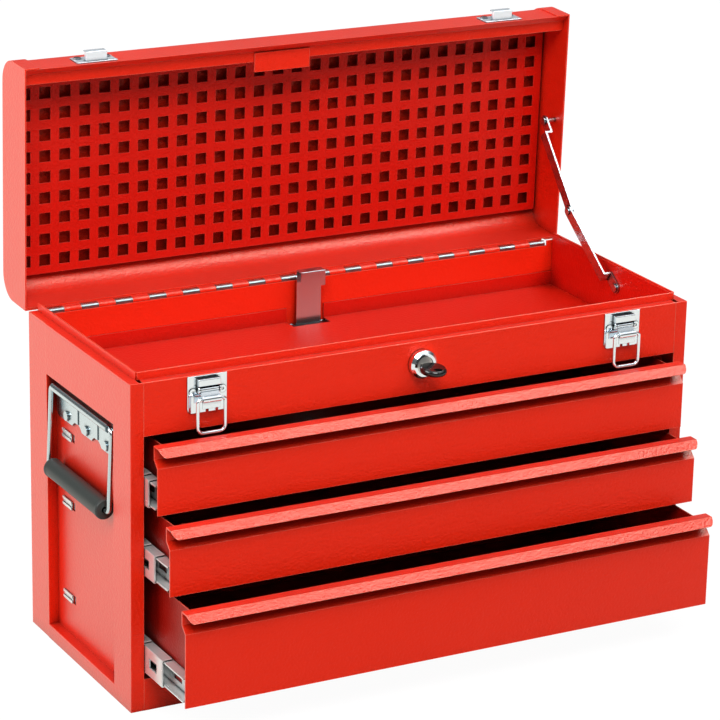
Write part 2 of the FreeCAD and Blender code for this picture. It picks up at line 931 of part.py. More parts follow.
def make_slides():
    """Six slides of three nested channels; middle members run out by half of their drawer's pull."""
    fixed = {"left": [], "right": []}
    low = "front_face + slide_setback"
    high = "front_face + slide_setback + slide_length"
    for level, pull in (("top", "pull_top"), ("middle", "pull_middle"), ("bottom", "pull_bottom")):
        middle = f"base_{level} + slide_rise"
        inner = []
        outer = []
        for side, word in ((-1, "left"), (1, "right")):
            tag = f"slide_{level}_{word}"
            block, room = channel(
                tag + "_cabinet", side, "wall_inside", "tray_half + slide_sheet + slide_open_edge",
                "slide_height / 2", low, high, middle,
            )
            fixed[word].append(cut(tag + "_cabinet", block, [room]))
            block, room = channel(
                tag + "_middle", side, "wall_inside - slide_sheet - slide_gap", "tray_half + slide_open_edge",
                "(slide_height / 2 - slide_sheet - slide_gap)",
                f"{low} - {pull} / 2", f"{high} - {pull} / 2", middle,
            )
            keyhole = box(
                tag + "_keyhole",
                sided(side, "wall_inside - 2 * slide_sheet - slide_gap - overrun", "wall_inside"),
                (
                    f"{low} - {pull} / 2 + keyhole_setback",
                    f"{low} - {pull} / 2 + keyhole_setback + keyhole_length",
                ),
                (f"{middle} - keyhole_height / 2", f"{middle} + keyhole_height / 2"),
            )
            outer.append(cut(tag + "_middle", block, [room, keyhole]))
            block, room = channel(
                tag + "_drawer", side, "tray_half", "wall_inside - 2 * slide_sheet - 2 * slide_gap",
                "(slide_height / 2 - 2 * slide_sheet - 2 * slide_gap)",
                f"{low} - {pull}", f"{high} - {pull}", middle,
            )
            window = box(
                tag + "_window",
                sided(side, "tray_half - overrun", "tray_half + slide_sheet + overrun"),
                (
                    f"{low} - {pull} + 2 * keyhole_setback",
                    f"{low} - {pull} + 2 * keyhole_setback + keyhole_length",
                ),
                (f"{middle} - keyhole_height / 2", f"{middle} + keyhole_height / 2"),
            )
            inner.append(cut(tag + "_drawer", block, [room, window]))
        keep(group(f"slides_{level}_outer", outer), "slide_middle_members_" + level)
        keep(group(f"slides_{level}_inner", inner), "slide_drawer_members_" + level)
    for word, members in fixed.items():
        keep(group("slides_fixed_" + word, members), "slide_cabinet_members_" + word)


def make_hinge():
    """Piano hinge: two leaves with alternate knuckles round one pin."""
    count = int(number("knuckle_count"))
    for part, word in ((0, "case"), (1, "lid")):
        tag = "hinge_" + word
        if part == 0:
            span = ("hinge_z - hinge_leaf_height", "hinge_z")
            first = 0
        else:
            span = ("hinge_z", "hinge_z + hinge_leaf_height")
            first = 1
        plate = box(
            tag + "_plate", ("-hinge_half", "hinge_half"), ("back_face", "back_face + hinge_leaf"), span,
        )
        roll = rod(
            tag + "_roll", "x", ("-hinge_half", "hinge_half"), ("hinge_y", "hinge_z"), "knuckle_radius",
        )
        gaps = []
        for place in range(1 - first, count, 2):
            gaps.append(
                box(
                    f"{tag}_gap_{place}",
                    (
                        f"{place} * knuckle_pitch - hinge_half - knuckle_gap / 2",
                        f"{place + 1} * knuckle_pitch - hinge_half + knuckle_gap / 2",
                    ),
                    ("back_face - overrun", "hinge_y + knuckle_radius + overrun"),
                    (
                        "hinge_z - knuckle_radius - knuckle_gap",
                        "hinge_z + knuckle_radius + knuckle_gap",
                    ),
                )
            )
        bore = rod(
            tag + "_bore",
            "x",
            ("-hinge_half - overrun", "hinge_half + overrun"),
            ("hinge_y", "hinge_z"),
            "hinge_pin_radius + running_fit",
        )
        leaf = cut(tag, fuse(tag + "_solid", [plate, roll]), gaps + [bore])
        keep(open_lid(leaf) if part else leaf, "hinge_leaf_" + word)
    keep(
        rod(
            "hinge_pin_rod",
            "x",
            ("-hinge_half", "hinge_half"),
            ("hinge_y", "hinge_z"),
            "hinge_pin_radius",
        ),
        "hinge_pin",
    )


def make_lid():
    """Lid shell, end caps, perforated liner and striker, all swung open about the hinge."""
    shell = profile(
        "lid_fold",
        "YZ_Plane",
        [
            ("back_face", "lid_foot"),
            ("back_face", "lid_top", "lid_radius"),
            ("front_face", "lid_top", "lid_radius"),
            ("front_face", "lid_foot"),
            ("front_face + hem_inset", "lid_foot + hem_rise"),
            ("front_face + hem_depth", "lid_foot + hem_rise"),
            ("front_face + hem_depth", "lid_foot + hem_rise + sheet"),
            ("front_face + hem_inset - sheet * hem_bend_share", "lid_foot + hem_rise + sheet"),
            ("front_inside", "lid_foot + sheet * hem_foot_share"),
            ("front_inside", "lid_top - sheet", "lid_radius - sheet"),
            ("back_inside", "lid_top - sheet", "lid_radius - sheet"),
            ("back_inside", "lid_foot"),
        ],
        "sheet - half_width",
        "half_width - sheet",
    )
    keep(open_lid(shell), "lid_shell")
    for side, word in ((-1, "left"), (1, "right")):
        tag = "cap_" + word
        low, high = sided(side, "half_width - cap_flange", "half_width")
        outer = profile(
            tag + "_outer",
            "YZ_Plane",
            [
                ("back_face + cap_rear_room", "lid_foot"),
                ("back_face + cap_rear_room", "lid_top + sheet", "lid_radius + sheet"),
                ("front_face - sheet", "lid_top + sheet", "lid_radius + sheet"),
                ("front_face - sheet", "lid_foot"),
            ],
            low,
            high,
        )
        inner_low, inner_high = sided(side, "half_width - cap_flange - overrun", "half_width - sheet")
        inner = profile(
            tag + "_inner",
            "YZ_Plane",
            [
                ("back_face", "lid_foot - overrun"),
                ("back_face", "lid_top", "lid_radius"),
                ("front_face", "lid_top", "lid_radius"),
                ("front_face", "lid_foot - overrun"),
            ],
            inner_low,
            inner_high,
        )
        keep(open_lid(cut(tag, outer, [inner])), "lid_end_cap_" + word)


def make_panel():
    """Perforated liner: one holed face with its long edges returned to the lid top."""
    low_y = number("back_face - case_depth + panel_front")
    high_y = number("back_face - panel_back")
    half = number("panel_half")
    level = number("lid_foot + panel_standoff")
    half_x = number("panel_hole_share * panel_pitch_x / 2")
    half_y = number("panel_hole_share * panel_pitch_y / 2")
    ends = [
        Vector(-half, low_y, level),
        Vector(half, low_y, level),
        Vector(half, high_y, level),
        Vector(-half, high_y, level),
    ]
    wires = [Part.makePolygon(ends + ends[:1])]
    columns = int(number("panel_columns"))
    rows = int(number("panel_rows"))
    for column in range(columns):
        for row in range(rows):
            x = (column - (columns - 1) / 2) * number("panel_pitch_x")
            y = low_y + number("panel_front_margin") + (row + 1 / 2) * number("panel_pitch_y")
            corners = [
                Vector(x - half_x, y - half_y, level),
                Vector(x - half_x, y + half_y, level),
                Vector(x + half_x, y + half_y, level),
                Vector(x + half_x, y - half_y, level),
            ]
            wires.append(Part.makePolygon(corners + corners[:1]))
    plate = Part.Face(wires).extrude(Vector(0, 0, number("sheet")))
    shape = plate
    inside = number("lid_radius - sheet")
    for edge, inset in ((low_y, "panel_front"), (high_y - number("sheet"), "panel_back")):
        reach = min(max(number(f"lid_radius - {inset}"), 0), inside)
        rise = number("lid_height - sheet - panel_standoff") - inside + math.sqrt(inside**2 - reach**2)
        wall = Part.makeBox(2 * half, number("sheet"), rise, Vector(-half, edge, level))
        shape = shape.fuse(wall)
    made = document.addObject("Part::Feature", "liner")
    made.Shape = shape.removeSplitter()
    keep(open_lid(made), "perforated_panel")


def rounded_plate(name, x_mid, width, y_span, top, height, corner):
    """Upright plate whose two lower corners are rounded."""
    return profile(
        name,
        "XZ_Plane",
        [
            (f"{x_mid} - {width} / 2", f"{top} - {height}", corner),
            (f"{x_mid} + {width} / 2", f"{top} - {height}", corner),
            (f"{x_mid} + {width} / 2", top),
            (f"{x_mid} - {width} / 2", top),
        ],
        *y_span,
    )


def make_latch(side, word):
    """Draw latch: plate with pressed cover and ears, pinned lever, wire bail, and its strike on the lid."""
    tag = "latch_" + word
    middle = "latch_offset" if side > 0 else "-latch_offset"
    ear_out = "lever_width / 2 + ear_clearance + ear_sheet"
    plate = rounded_plate(
        tag + "_base",
        middle,
        "latch_width",
        ("latch_face", "front_face"),
        "latch_top",
        "latch_height",
        "latch_corner",
    )
    cover = box(
        tag + "_cover",
        (f"{middle} - cover_width / 2", f"{middle} + cover_width / 2"),
        ("latch_face - cover_raise", "latch_face"),
        ("latch_top - cover_top_gap - cover_height", "latch_top - cover_top_gap"),
    )
    ears = []
    for hand, name in ((-1, "a"), (1, "b")):
        low, high = sided(hand, "lever_width / 2 + ear_clearance", ear_out)
        ears.append(
            box(
                f"{tag}_ear_{name}",
                (f"{middle} + {low}", f"{middle} + {high}"),
                ("pivot_y", "latch_face"),
                ("pivot_z - ear_radius", "pivot_z + ear_radius"),
            )
        )
        ears.append(
            rod(
                f"{tag}_ear_round_{name}",
                "x",
                (f"{middle} + {low}", f"{middle} + {high}"),
                ("pivot_y", "pivot_z"),
                "ear_radius",
            )
        )
    pin_hole = rod(
        tag + "_pin_hole",
        "x",
        (f"{middle} - {ear_out} - overrun", f"{middle} + {ear_out} + overrun"),
        ("pivot_y", "pivot_z"),
        "lever_pin_radius + running_fit",
    )
    slot = box(
        tag + "_slot",
        (f"{middle} - rivet_hole_radius", f"{middle} + rivet_hole_radius"),
        ("latch_face - overrun", "front_face + overrun"),
        ("latch_top - latch_height - overrun", "latch_top - latch_height + latch_corner"),
    )
    keep(
        cut(tag + "_plate", fuse(tag + "_fused", [plate, cover] + ears), [pin_hole, slot]),
        "latch_plate_" + word,
    )

    pin = rod(
        tag + "_pin",
        "x",
        (f"{middle} - {ear_out} - bail_seat", f"{middle} + {ear_out} + bail_seat"),
        ("pivot_y", "pivot_z"),
        "lever_pin_radius",
    )
    studs = [pin]
    for hand, name in ((-1, "a"), (1, "b")):
        place = f"{middle} + latch_rivet_offset" if hand > 0 else f"{middle} - latch_rivet_offset"
        head = rod(
            f"{tag}_rivet_{name}",
            "y",
            ("latch_face - rivet_raise", "latch_face"),
            (place, "latch_top - latch_rivet_drop"),
            "rivet_radius",
        )
        dimple = rod(
            f"{tag}_dimple_{name}",
            "y",
            ("latch_face - rivet_raise - overrun", "latch_face - rivet_raise / 2"),
            (place, "latch_top - latch_rivet_drop"),
            "rivet_hole_radius",
        )
        studs.append(cut(f"{tag}_rivet_cut_{name}", head, [dimple]))
    keep(group(tag + "_studs", studs), "latch_pin_and_rivets_" + word)

    roll = rod(
        tag + "_roll",
        "x",
        (f"{middle} - lever_width / 2", f"{middle} + lever_width / 2"),
        ("pivot_y", "pivot_z"),
        "lever_roll_radius",
    )
    barrel = rod(
        tag + "_barrel",
        "x",
        (f"{middle} - lever_width / 2", f"{middle} + lever_width / 2"),
        ("barrel_y", "barrel_z"),
        "lever_barrel_radius",
    )
    web = profile(
        tag + "_web",
        "YZ_Plane",
        [
            ("pivot_y + lever_sheet / 2", "pivot_z"),
            ("pivot_y - lever_sheet / 2", "pivot_z"),
            ("barrel_y - lever_sheet / 2", "barrel_z"),
            ("barrel_y - lever_sheet / 2", "barrel_z - lever_barrel_radius - lever_tail"),
            ("barrel_y + lever_sheet / 2", "barrel_z - lever_barrel_radius - lever_tail"),
            ("barrel_y + lever_sheet / 2", "barrel_z"),
        ],
        f"{middle} - lever_width / 2",
        f"{middle} + lever_width / 2",
    )
    bores = [
        rod(
            tag + "_roll_bore",
            "x",
            (f"{middle} - lever_width", f"{middle} + lever_width"),
            ("pivot_y", "pivot_z"),
            "lever_pin_radius + running_fit",
        ),
        rod(
            tag + "_barrel_bore",
            "x",
            (f"{middle} - lever_width", f"{middle} + lever_width"),
            ("barrel_y", "barrel_z"),
            "bail_bore",
        ),
    ]
    keep(cut(tag + "_lever", fuse(tag + "_lever_solid", [roll, barrel, web]), bores), "latch_lever_" + word)

    x = number(middle)
    reach = number("bail_width") / 2
    y = number("barrel_y")
    z = number("barrel_z")
    low = z - number("bail_length")
    gap = number("bail_joint_gap") / 2
    path = [
        Vector(x - gap, y, z),
        Vector(x - reach, y, z),
        Vector(x - reach, y, low),
        Vector(x + reach, y, low),
        Vector(x + reach, y, z),
        Vector(x + gap, y, z),
    ]
    bends = [number("bail_bend"), number("bail_corner"), number("bail_corner"), number("bail_bend")]
    made = document.addObject("Part::Feature", tag + "_bail")
    made.Shape = wire_shape(path, bends, number("bail_radius"))
    keep(made, "latch_bail_" + word)

    strike = [
        box(
            tag + "_strike",
            (f"{middle} - strike_width / 2", f"{middle} + strike_width / 2"),
            ("latch_face", "front_face"),
            ("lid_foot + strike_rise", "lid_foot + strike_rise + strike_height"),
        ),
        box(
            tag + "_hook",
            (f"{middle} - hook_width / 2", f"{middle} + hook_width / 2"),
            ("latch_face - hook_raise", "latch_face"),
            ("lid_foot + strike_rise + hook_foot", "lid_foot + strike_rise + hook_foot + hook_body"),
        ),
        box(
            tag + "_hook_lip",
            (f"{middle} - hook_width / 2", f"{middle} + hook_width / 2"),
            ("latch_face - hook_raise", "latch_face - hook_raise + latch_sheet"),
            (
                "lid_foot + strike_rise + hook_foot",
                "lid_foot + strike_rise + hook_foot + hook_body + hook_lip",
            ),
        ),
    ]
    keep(open_lid(fuse(tag + "_strike_solid", strike)), "lid_strike_" + word)
    return [
        rod(
            f"{tag}_strike_rivet_{name}",
            "y",
            ("latch_face - rivet_raise", "latch_face"),
            (
                f"{middle} {sign} latch_rivet_offset",
                "lid_foot + strike_rise + strike_height - strike_rivet_drop",
            ),
            "rivet_radius",
        )
        for sign, name in (("-", "a"), ("+", "b"))
    ]


def make_lock():
    """Cylinder lock: bevelled body, plug, rear cam, key blade and key bow, and the body nut."""
    ring = rod(
        "lock_ring",
        "y",
        ("lock_face + lock_ring_bevel", "front_face"),
        ("0", "lock_z"),
        "lock_ring_radius",
    )
    bevel = rod(
        "lock_bevel",
        "y",
        ("lock_face", "lock_face + lock_ring_bevel"),
        ("0", "lock_z"),
        "lock_ring_radius - lock_ring_bevel",
        "lock_ring_radius",
    )
    barrel = rod(
        "lock_barrel",
        "y",
        ("front_face", "front_face + lock_body_length"),
        ("0", "lock_z"),
        "lock_body_radius",
    )
    bore = rod(
        "lock_bore",
        "y",
        ("lock_face - overrun", "front_face + lock_body_length + overrun"),
        ("0", "lock_z"),
        "plug_radius + running_fit",
    )
    keep(cut("lock", fuse("lock_solid", [ring, bevel, barrel]), [bore]), "lock_body")
    nut = box(
        "lock_nut_block",
        ("-lock_nut_width / 2", "lock_nut_width / 2"),
        ("lip_front + sheet", "lip_front + sheet + lock_nut_thickness"),
        ("lock_z - lock_nut_width / 2", "lock_z + lock_nut_width / 2"),
    )
    nut_bore = rod(
        "lock_nut_bore", "y", ("lip_front", "lip_front + 2 * sheet + 2 * lock_nut_thickness"),
        ("0", "lock_z"), "lock_body_radius"
    )
    keep(cut("lock_nut_cut", nut, [nut_bore]), "lock_nut")
    plug = rod(
        "plug_rod",
        "y",
        ("lock_face + plug_recess", "front_face + lock_body_length + running_fit"),
        ("0", "lock_z"),
        "plug_radius",
    )
    keyway = box(
        "plug_keyway",
        ("-keyway_width / 2", "keyway_width / 2"),
        ("lock_face - overrun", "lock_face + plug_recess + key_depth + overrun"),
        ("lock_z - keyway_height / 2", "lock_z + keyway_height / 2"),
    )
    keep(cut("plug", plug, [keyway]), "lock_plug")
    cam_y = (
        "front_face + lock_body_length + running_fit",
        "front_face + lock_body_length + running_fit + cam_sheet",
    )
    tip = "lid_foot + hem_rise + cam_clearance - lock_z"
    cam = [
        rod("cam_hub", "y", cam_y, ("0", "lock_z"), "plug_radius"),
        box(
            "cam_arm",
            ("0", f"{tip} + cam_sheet"),
            cam_y,
            ("lock_z - cam_width / 2", "lock_z + cam_width / 2"),
        ),
        box(
            "cam_foot_plate",
            (tip, f"{tip} + cam_sheet"),
            (f"{cam_y[0]} - cam_foot", cam_y[1]),
            ("lock_z - cam_width / 2", "lock_z + cam_width / 2"),
        ),
        rod(
            "cam_screw",
            "y",
            (cam_y[1], f"{cam_y[1]} + cam_screw_height"),
            ("0", "lock_z"),
            "cam_screw_radius",
        ),
    ]
    keep(fuse("cam", cam), "lock_cam")
    face = "lock_face + plug_recess"
    keep(
        box(
            "blade",
            ("-key_width / 2", "key_width / 2"),
            (f"{face} - key_shoulder", f"{face} + key_depth"),
            ("lock_z - key_height / 2", "lock_z + key_height / 2"),
        ),
        "key_blade",
    )
    bow = document.addObject("Part::Ellipsoid", "bow_round")
    bind(bow, "Radius1", "bow_height")
    bind(bow, "Radius2", "bow_width / 2")
    bind(bow, "Radius3", "bow_length / 2")
    bind(bow, ".Placement.Base.y", f"{face} - key_shoulder - bow_length / 2 + bow_seat")
    bind(bow, ".Placement.Base.z", "lock_z")
    slab = box(
        "bow_slab",
        ("-bow_width", "bow_width"),
        (f"{face} - key_shoulder - 2 * bow_length", f"{face} - key_shoulder"),
        ("lock_z - bow_height / 2", "lock_z + bow_height / 2"),
    )
    flat = document.addObject("Part::Common", "bow_flat")
    bow_parts = [bow, slab]
    flat.Base, flat.Tool = bow_parts
    hole = rod(
        "bow_hole_rod",
        "z",
        ("lock_z - bow_height", "lock_z + bow_height"),
        ("0", f"{face} - key_shoulder - bow_length + 2 * bow_hole"),
        "bow_hole",
    )
    keep(cut("bow", flat, [hole]), "key_bow")


def make_lock_bar():
    """Strap that slides down behind the drawers, with a hooked top and three fingers, and its guide."""
    back = "bar_y"
    front = "bar_y - bar_sheet"
    top = "case_height + bar_rise"
    pieces = [
        box("bar_strap", ("-bar_left", "bar_right"), (front, back), ("sheet + bar_foot_gap", top)),
        box(
            "bar_bridge",
            ("-bar_left", "bar_right"),
            (f"{front} - bar_hook_reach", back),
            (f"{top} - bar_sheet", top),
        ),
        box(
            "bar_hook",
            ("-bar_left", "bar_right"),
            (f"{front} - bar_hook_reach", f"{front} - bar_hook_reach + bar_sheet"),
            (f"{top} - bar_hook_fall", top),
        ),
    ]
    for level, height in (("top", "shallow_front"), ("middle", "shallow_front"), ("bottom", "deep_front")):
        wall_top = f"base_{level} + {height} - side_drop - back_wall_drop"
        foot = f"{wall_top} + finger_clearance"
        pieces.append(
            box(
                f"bar_finger_{level}",
                ("-finger_width / 2", "finger_width / 2"),
                (f"{front} - finger_reach", front),
                (f"{foot} + finger_fall", f"{foot} + finger_fall + bar_sheet"),
            )
        )
        pieces.append(
            box(
                f"bar_tooth_{level}",
                ("-finger_width / 2", "finger_width / 2"),
                (f"{front} - finger_reach", f"{front} - finger_reach + bar_sheet"),
                (foot, f"{foot} + finger_fall + bar_sheet"),
            )
        )
    keep(fuse("bar", pieces), "lock_bar")
    guides = []
    for level, place in (("upper", "tray_floor - guide_height - sheet"), ("lower", "sill_height")):
        span = (place, f"{place} + guide_height")
        tag = "guide_" + level
        block = box(
            tag + "_block",
            (
                "-bar_left - guide_gap - sheet - guide_flange",
                "bar_right + guide_gap + sheet + guide_flange",
            ),
            (f"{front} - guide_gap - sheet", "back_inside"),
            span,
        )
        tunnel = box(
            tag + "_tunnel",
            ("-bar_left - guide_gap", "bar_right + guide_gap"),
            (f"{front} - guide_gap", "back_inside + overrun"),
            (f"{place} - overrun", f"{place} + guide_height + overrun"),
        )
        steps = [
            box(
                f"{tag}_step_{name}",
                sided(
                    hand,
                    f"{reach} + guide_gap + sheet",
                    f"{reach} + guide_gap + sheet + guide_flange + overrun",
                ),
                (f"{front} - guide_gap - 2 * sheet", "back_inside - sheet"),
                (f"{place} - overrun", f"{place} + guide_height + overrun"),
            )
            for hand, name, reach in ((-1, "a", "bar_left"), (1, "b", "bar_right"))
        ]
        guides.append(cut(tag, block, [tunnel] + steps))
    keep(group("guides", guides), "lock_bar_guides")


def make_handle(side, word):
    """Side handle: bracket with a hinge barrel, rivets, wire loop and rubber grip."""
    tag = "handle_" + word
    plate_in = "recess_face"
    plate_out = "recess_face + bracket_sheet"
    top = "handle_z + barrel_radius"
    plate = profile(
        tag + "_plate",
        "YZ_Plane",
        [
            ("-bracket_length / 2", f"{top} - bracket_height", "scallop_depth"),
            ("bracket_length / 2", f"{top} - bracket_height", "scallop_depth"),
            ("bracket_length / 2", top),
            ("-bracket_length / 2", top),
        ],
        *sided(side, plate_in, plate_out),
    )
    web = box(
        tag + "_web",
        sided(side, plate_out, "handle_x"),
        ("-barrel_length / 2", "barrel_length / 2"),
        (f"{top} - bracket_sheet", top),
    )
    centre_x = "handle_x" if side > 0 else "-handle_x"
    barrel = rod(
        tag + "_barrel",
        "y",
        ("-barrel_length / 2", "barrel_length / 2"),
        (centre_x, "handle_z"),
        "barrel_radius",
    )
    steps = [
        box(
            f"{tag}_step_{name}",
            sided(side, plate_out, "recess_face + bracket_sheet + bracket_step"),
            (
                f"{sign} bracket_step_offset - bracket_step_width / 2",
                f"{sign} bracket_step_offset + bracket_step_width / 2",
            ),
            (f"{top} - bracket_height + scallop_depth", "handle_z - barrel_radius"),
        )
        for sign, name in (("0 -", "a"), ("0 +", "b"))
    ]
    bore = rod(
        tag + "_bore",
        "y",
        ("-barrel_length", "barrel_length"),
        (centre_x, "handle_z"),
        "handle_wire_radius + running_fit",
    )
    scallops = [
        rod(
            f"{tag}_scallop_{name}",
            "x",
            sided(side, "recess_face - overrun", "recess_face + bracket_sheet + overrun"),
            (f"{sign} handle_rivet_offset / 2", f"{top} - bracket_height - scallop_radius + scallop_depth"),
            "scallop_radius",
        )
        for sign, name in (("0 -", "a"), ("0 +", "b"))
    ]
    keep(
        cut(tag + "_bracket", fuse(tag + "_solid", [plate, web, barrel] + steps), [bore] + scallops),
        "handle_bracket_" + word,
    )
    rivets = [
        rod(
            f"{tag}_rivet_{name}",
            "x",
            sided(side, plate_out, "recess_face + bracket_sheet + handle_rivet_raise"),
            (f"{count} * handle_rivet_offset", "handle_z - handle_rivet_drop"),
            "handle_rivet_radius",
        )
        for count, name in ((-1, "a"), (0, "b"), (1, "c"))
    ]
    x = side * number("handle_x")
    z = number("handle_z")
    arm = number("handle_arm_offset")
    low = z - number("handle_swing")
    out = side * number("handle_lean")
    gap = number("wire_end_gap") / 2
    bend = number("handle_bend")
    path = [
        Vector(x + out, -gap, low),
        Vector(x + out, -arm, low),
        Vector(x, -arm, z),
        Vector(x, arm, z),
        Vector(x + out, arm, low),
        Vector(x + out, gap, low),
    ]
    made = document.addObject("Part::Feature", tag + "_wire")
    made.Shape = wire_shape(path, [bend] * 4, number("handle_wire_radius"))
    keep(made, "handle_wire_" + word)
    grip_x = "handle_x + handle_lean" if side > 0 else "-handle_x - handle_lean"
    grip = rod(
        tag + "_grip",
        "y",
        ("-grip_length / 2", "grip_length / 2"),
        (grip_x, "handle_z - handle_swing"),
        "grip_radius",
    )
    grip_bore = rod(
        tag + "_grip_bore",
        "y",
        ("-grip_length", "grip_length"),
        (grip_x, "handle_z - handle_swing"),
        "handle_wire_radius",
    )
    keep(cut(tag + "_grip_cut", grip, [grip_bore]), "handle_grip_" + word)
    return rivets


def make_stay():
    """Folding lid stay on the right: two jogged links and the pins that carry them."""
    wall = "stay_wall - stay_wall_gap"
    for word, length, place_y, place_z, turn, bar_in in (
        (
            "lower",
            "stay_lower",
            "-stay_case_y",
            "stay_pin_z",
            "stay_slope - stay_low_bend",
            f"{wall} - stay_sheet - stay_jog",
        ),
        (
            "upper",
            "stay_upper",
            "stay_top_y",
            "stay_top_z",
            "stay_slope + stay_high_bend + 180 deg",
            f"{wall} - stay_jog + stay_wall_gap",
        ),
    ):
        tag = "stay_" + word
        half = "stay_width / 2"
        solids = [
            box(tag + "_tab", (f"{wall} - stay_sheet", wall), ("0", "stay_tab"), (f"-{half}", half)),
            rod(tag + "_tab_round", "x", (f"{wall} - stay_sheet", wall), ("0", "0"), half),
            box(tag + "_jog", (bar_in, wall), ("stay_tab - stay_sheet", "stay_tab"), (f"-{half}", half)),
            box(
                tag + "_bar",
                (bar_in, f"{bar_in} + stay_sheet"),
                ("stay_tab - stay_sheet", length),
                (f"-{half}", half),
            ),
            rod(tag + "_bar_round", "x", (bar_in, f"{bar_in} + stay_sheet"), (length, "0"), half),
        ]
        if word == "lower":
            solids.append(
                rod(
                    tag + "_rivet",
                    "x",
                    (f"{bar_in} - stay_rivet_raise", bar_in),
                    (length, "0"),
                    "stay_rivet_radius",
                )
            )
        else:
            solids.append(
                rod(
                    tag + "_rivet",
                    "x",
                    (f"{bar_in} + stay_sheet", f"{bar_in} + stay_sheet + stay_rivet_raise"),
                    (length, "0"),
                    "stay_rivet_radius",
                )
            )
        bore = rod(
            tag + "_bore",
            "x",
            (f"{wall} - 2 * stay_jog", f"{wall} + overrun"),
            ("0", "0"),
            "stay_pin_radius + running_fit",
        )
        link = cut(tag, fuse(tag + "_solid", solids), [bore])
        link.Placement = FreeCAD.Placement(Vector(0, 0, 0), FreeCAD.Rotation(Vector(1, 0, 0), 1))
        bind(link, ".Placement.Rotation.Angle", turn)
        bind(link, ".Placement.Base.y", place_y)
        bind(link, ".Placement.Base.z", place_z)
        keep(link, f"stay_{word}_link")
    pin_head = f"{wall} - stay_sheet - stay_wall_gap"
    for word, end, place in (
        ("case", "stay_wall", ("-stay_case_y", "stay_pin_z")),
        ("lid", "half_width - sheet", ("stay_top_y", "stay_top_z")),
    ):
        tag = "stay_pin_" + word
        shank = rod(tag + "_shank", "x", (f"{pin_head} - stay_head", end), place, "stay_pin_radius")
        head = rod(tag + "_head", "x", (f"{pin_head} - stay_head", pin_head), place, "stay_head_radius")
        keep(fuse(tag, [shank, head]), tag)


make_case()
make_tabs()
for level, height, pull in (
    ("top", "shallow_front", "pull_top"),
    ("middle", "shallow_front", "pull_middle"),
    ("bottom", "deep_front", "pull_bottom"),
):
    make_front(level, height, pull)
    make_tray(level, height, pull)
make_slides()
make_hinge()
make_lid()
make_panel()
strike_rivets = make_latch(-1, "left") + make_latch(1, "right")
keep(open_lid(group("strike_rivets_all", strike_rivets)), "lid_strike_rivets")
striker = box(
    "striker_block",
    ("-striker_left", "striker_right"),
    ("front_face + striker_front", "front_face + striker_front + striker_depth"),
    ("lid_foot + hem_rise - sheet", "lid_foot + hem_rise"),
)
keep(open_lid(group("striker", [striker])), "lid_striker_plate")
make_lock()
make_lock_bar()
make_stay()
keep(group("handle_rivets_all", make_handle(-1, "left") + make_handle(1, "right")), "handle_rivets")

document.recompute()
faults = [item.Name for item in document.Objects if "Invalid" in item.State or "Error" in item.State]
for item in KEPT:
    if item.Shape.isNull() or not item.Shape.isValid():
        faults.append(item.Label)
if faults:
    raise RuntimeError("pieces failed: " + ", ".join(faults))
os.makedirs("parts", exist_ok=True)
for item in KEPT:
    item.Shape.exportStep(f"parts/{item.Label}.step")
print(len(KEPT), "pieces written")
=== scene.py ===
"""Visual model of a portable three-drawer steel toolbox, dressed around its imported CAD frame."""

from __future__ import annotations

import json
import logging
import math
from collections.abc import Callable, Iterable
from dataclasses import dataclass
from enum import Enum, StrEnum

import bmesh
import bpy
from mathutils import Matrix, Vector

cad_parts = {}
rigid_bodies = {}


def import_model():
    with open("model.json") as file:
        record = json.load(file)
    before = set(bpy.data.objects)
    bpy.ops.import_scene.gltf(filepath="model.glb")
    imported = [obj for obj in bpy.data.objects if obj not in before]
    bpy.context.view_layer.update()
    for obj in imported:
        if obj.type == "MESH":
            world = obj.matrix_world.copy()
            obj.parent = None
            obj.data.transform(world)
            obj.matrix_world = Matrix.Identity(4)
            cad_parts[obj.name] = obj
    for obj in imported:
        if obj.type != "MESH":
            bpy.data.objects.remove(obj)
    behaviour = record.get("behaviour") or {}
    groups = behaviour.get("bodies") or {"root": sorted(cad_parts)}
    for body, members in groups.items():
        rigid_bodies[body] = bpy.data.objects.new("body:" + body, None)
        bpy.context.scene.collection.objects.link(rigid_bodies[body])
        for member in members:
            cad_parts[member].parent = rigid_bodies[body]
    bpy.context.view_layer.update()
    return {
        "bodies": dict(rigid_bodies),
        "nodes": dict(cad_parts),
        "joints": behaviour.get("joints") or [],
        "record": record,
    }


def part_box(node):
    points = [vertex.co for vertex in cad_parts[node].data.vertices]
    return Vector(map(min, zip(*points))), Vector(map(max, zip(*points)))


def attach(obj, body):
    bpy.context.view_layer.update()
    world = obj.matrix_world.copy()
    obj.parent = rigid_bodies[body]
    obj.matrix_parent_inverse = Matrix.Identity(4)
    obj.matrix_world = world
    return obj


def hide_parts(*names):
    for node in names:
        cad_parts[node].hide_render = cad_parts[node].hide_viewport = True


LOG = logging.getLogger("toolbox")

MM = 0.001
SMOOTH_ANGLE = math.radians(32)
LIP_CREASE = math.radians(16)
PLANAR_ANGLE = math.radians(0.4)
MERGE_DISTANCE = 1e-6

FOLD_STEPS = 3
CUT_STEPS = 1
LEAST_FOLD_LENGTH = 6 * MM
LEAST_SHEET_WIDTH = 3.2 * MM
ROUND_SHARES = (1.0, 0.6, 0.3)
AREA_SLACK = 5 * MM * MM

SOFT_SAMPLES = 6
EDGE_LEVEL = (0.995, 0.94)
EDGE_OPENNESS = (0.72, 0.92)
EDGE_REACH = 4 * MM
EDGE_LIFT = 0.25
MIX_FACTOR = 0
MIX_LOW = 6
MIX_HIGH = 7
MIX_COLOUR = 2

FACING_BLEND = 0.5
WHITE = (1.0, 1.0, 1.0)
FORE_AND_AFT = (0.0, 1.0, 0.0)

Colour = tuple[float, float, float]
Point = tuple[float, float, float]
Span = tuple[float, float]
UNIT_SPAN = (0.0, 1.0)


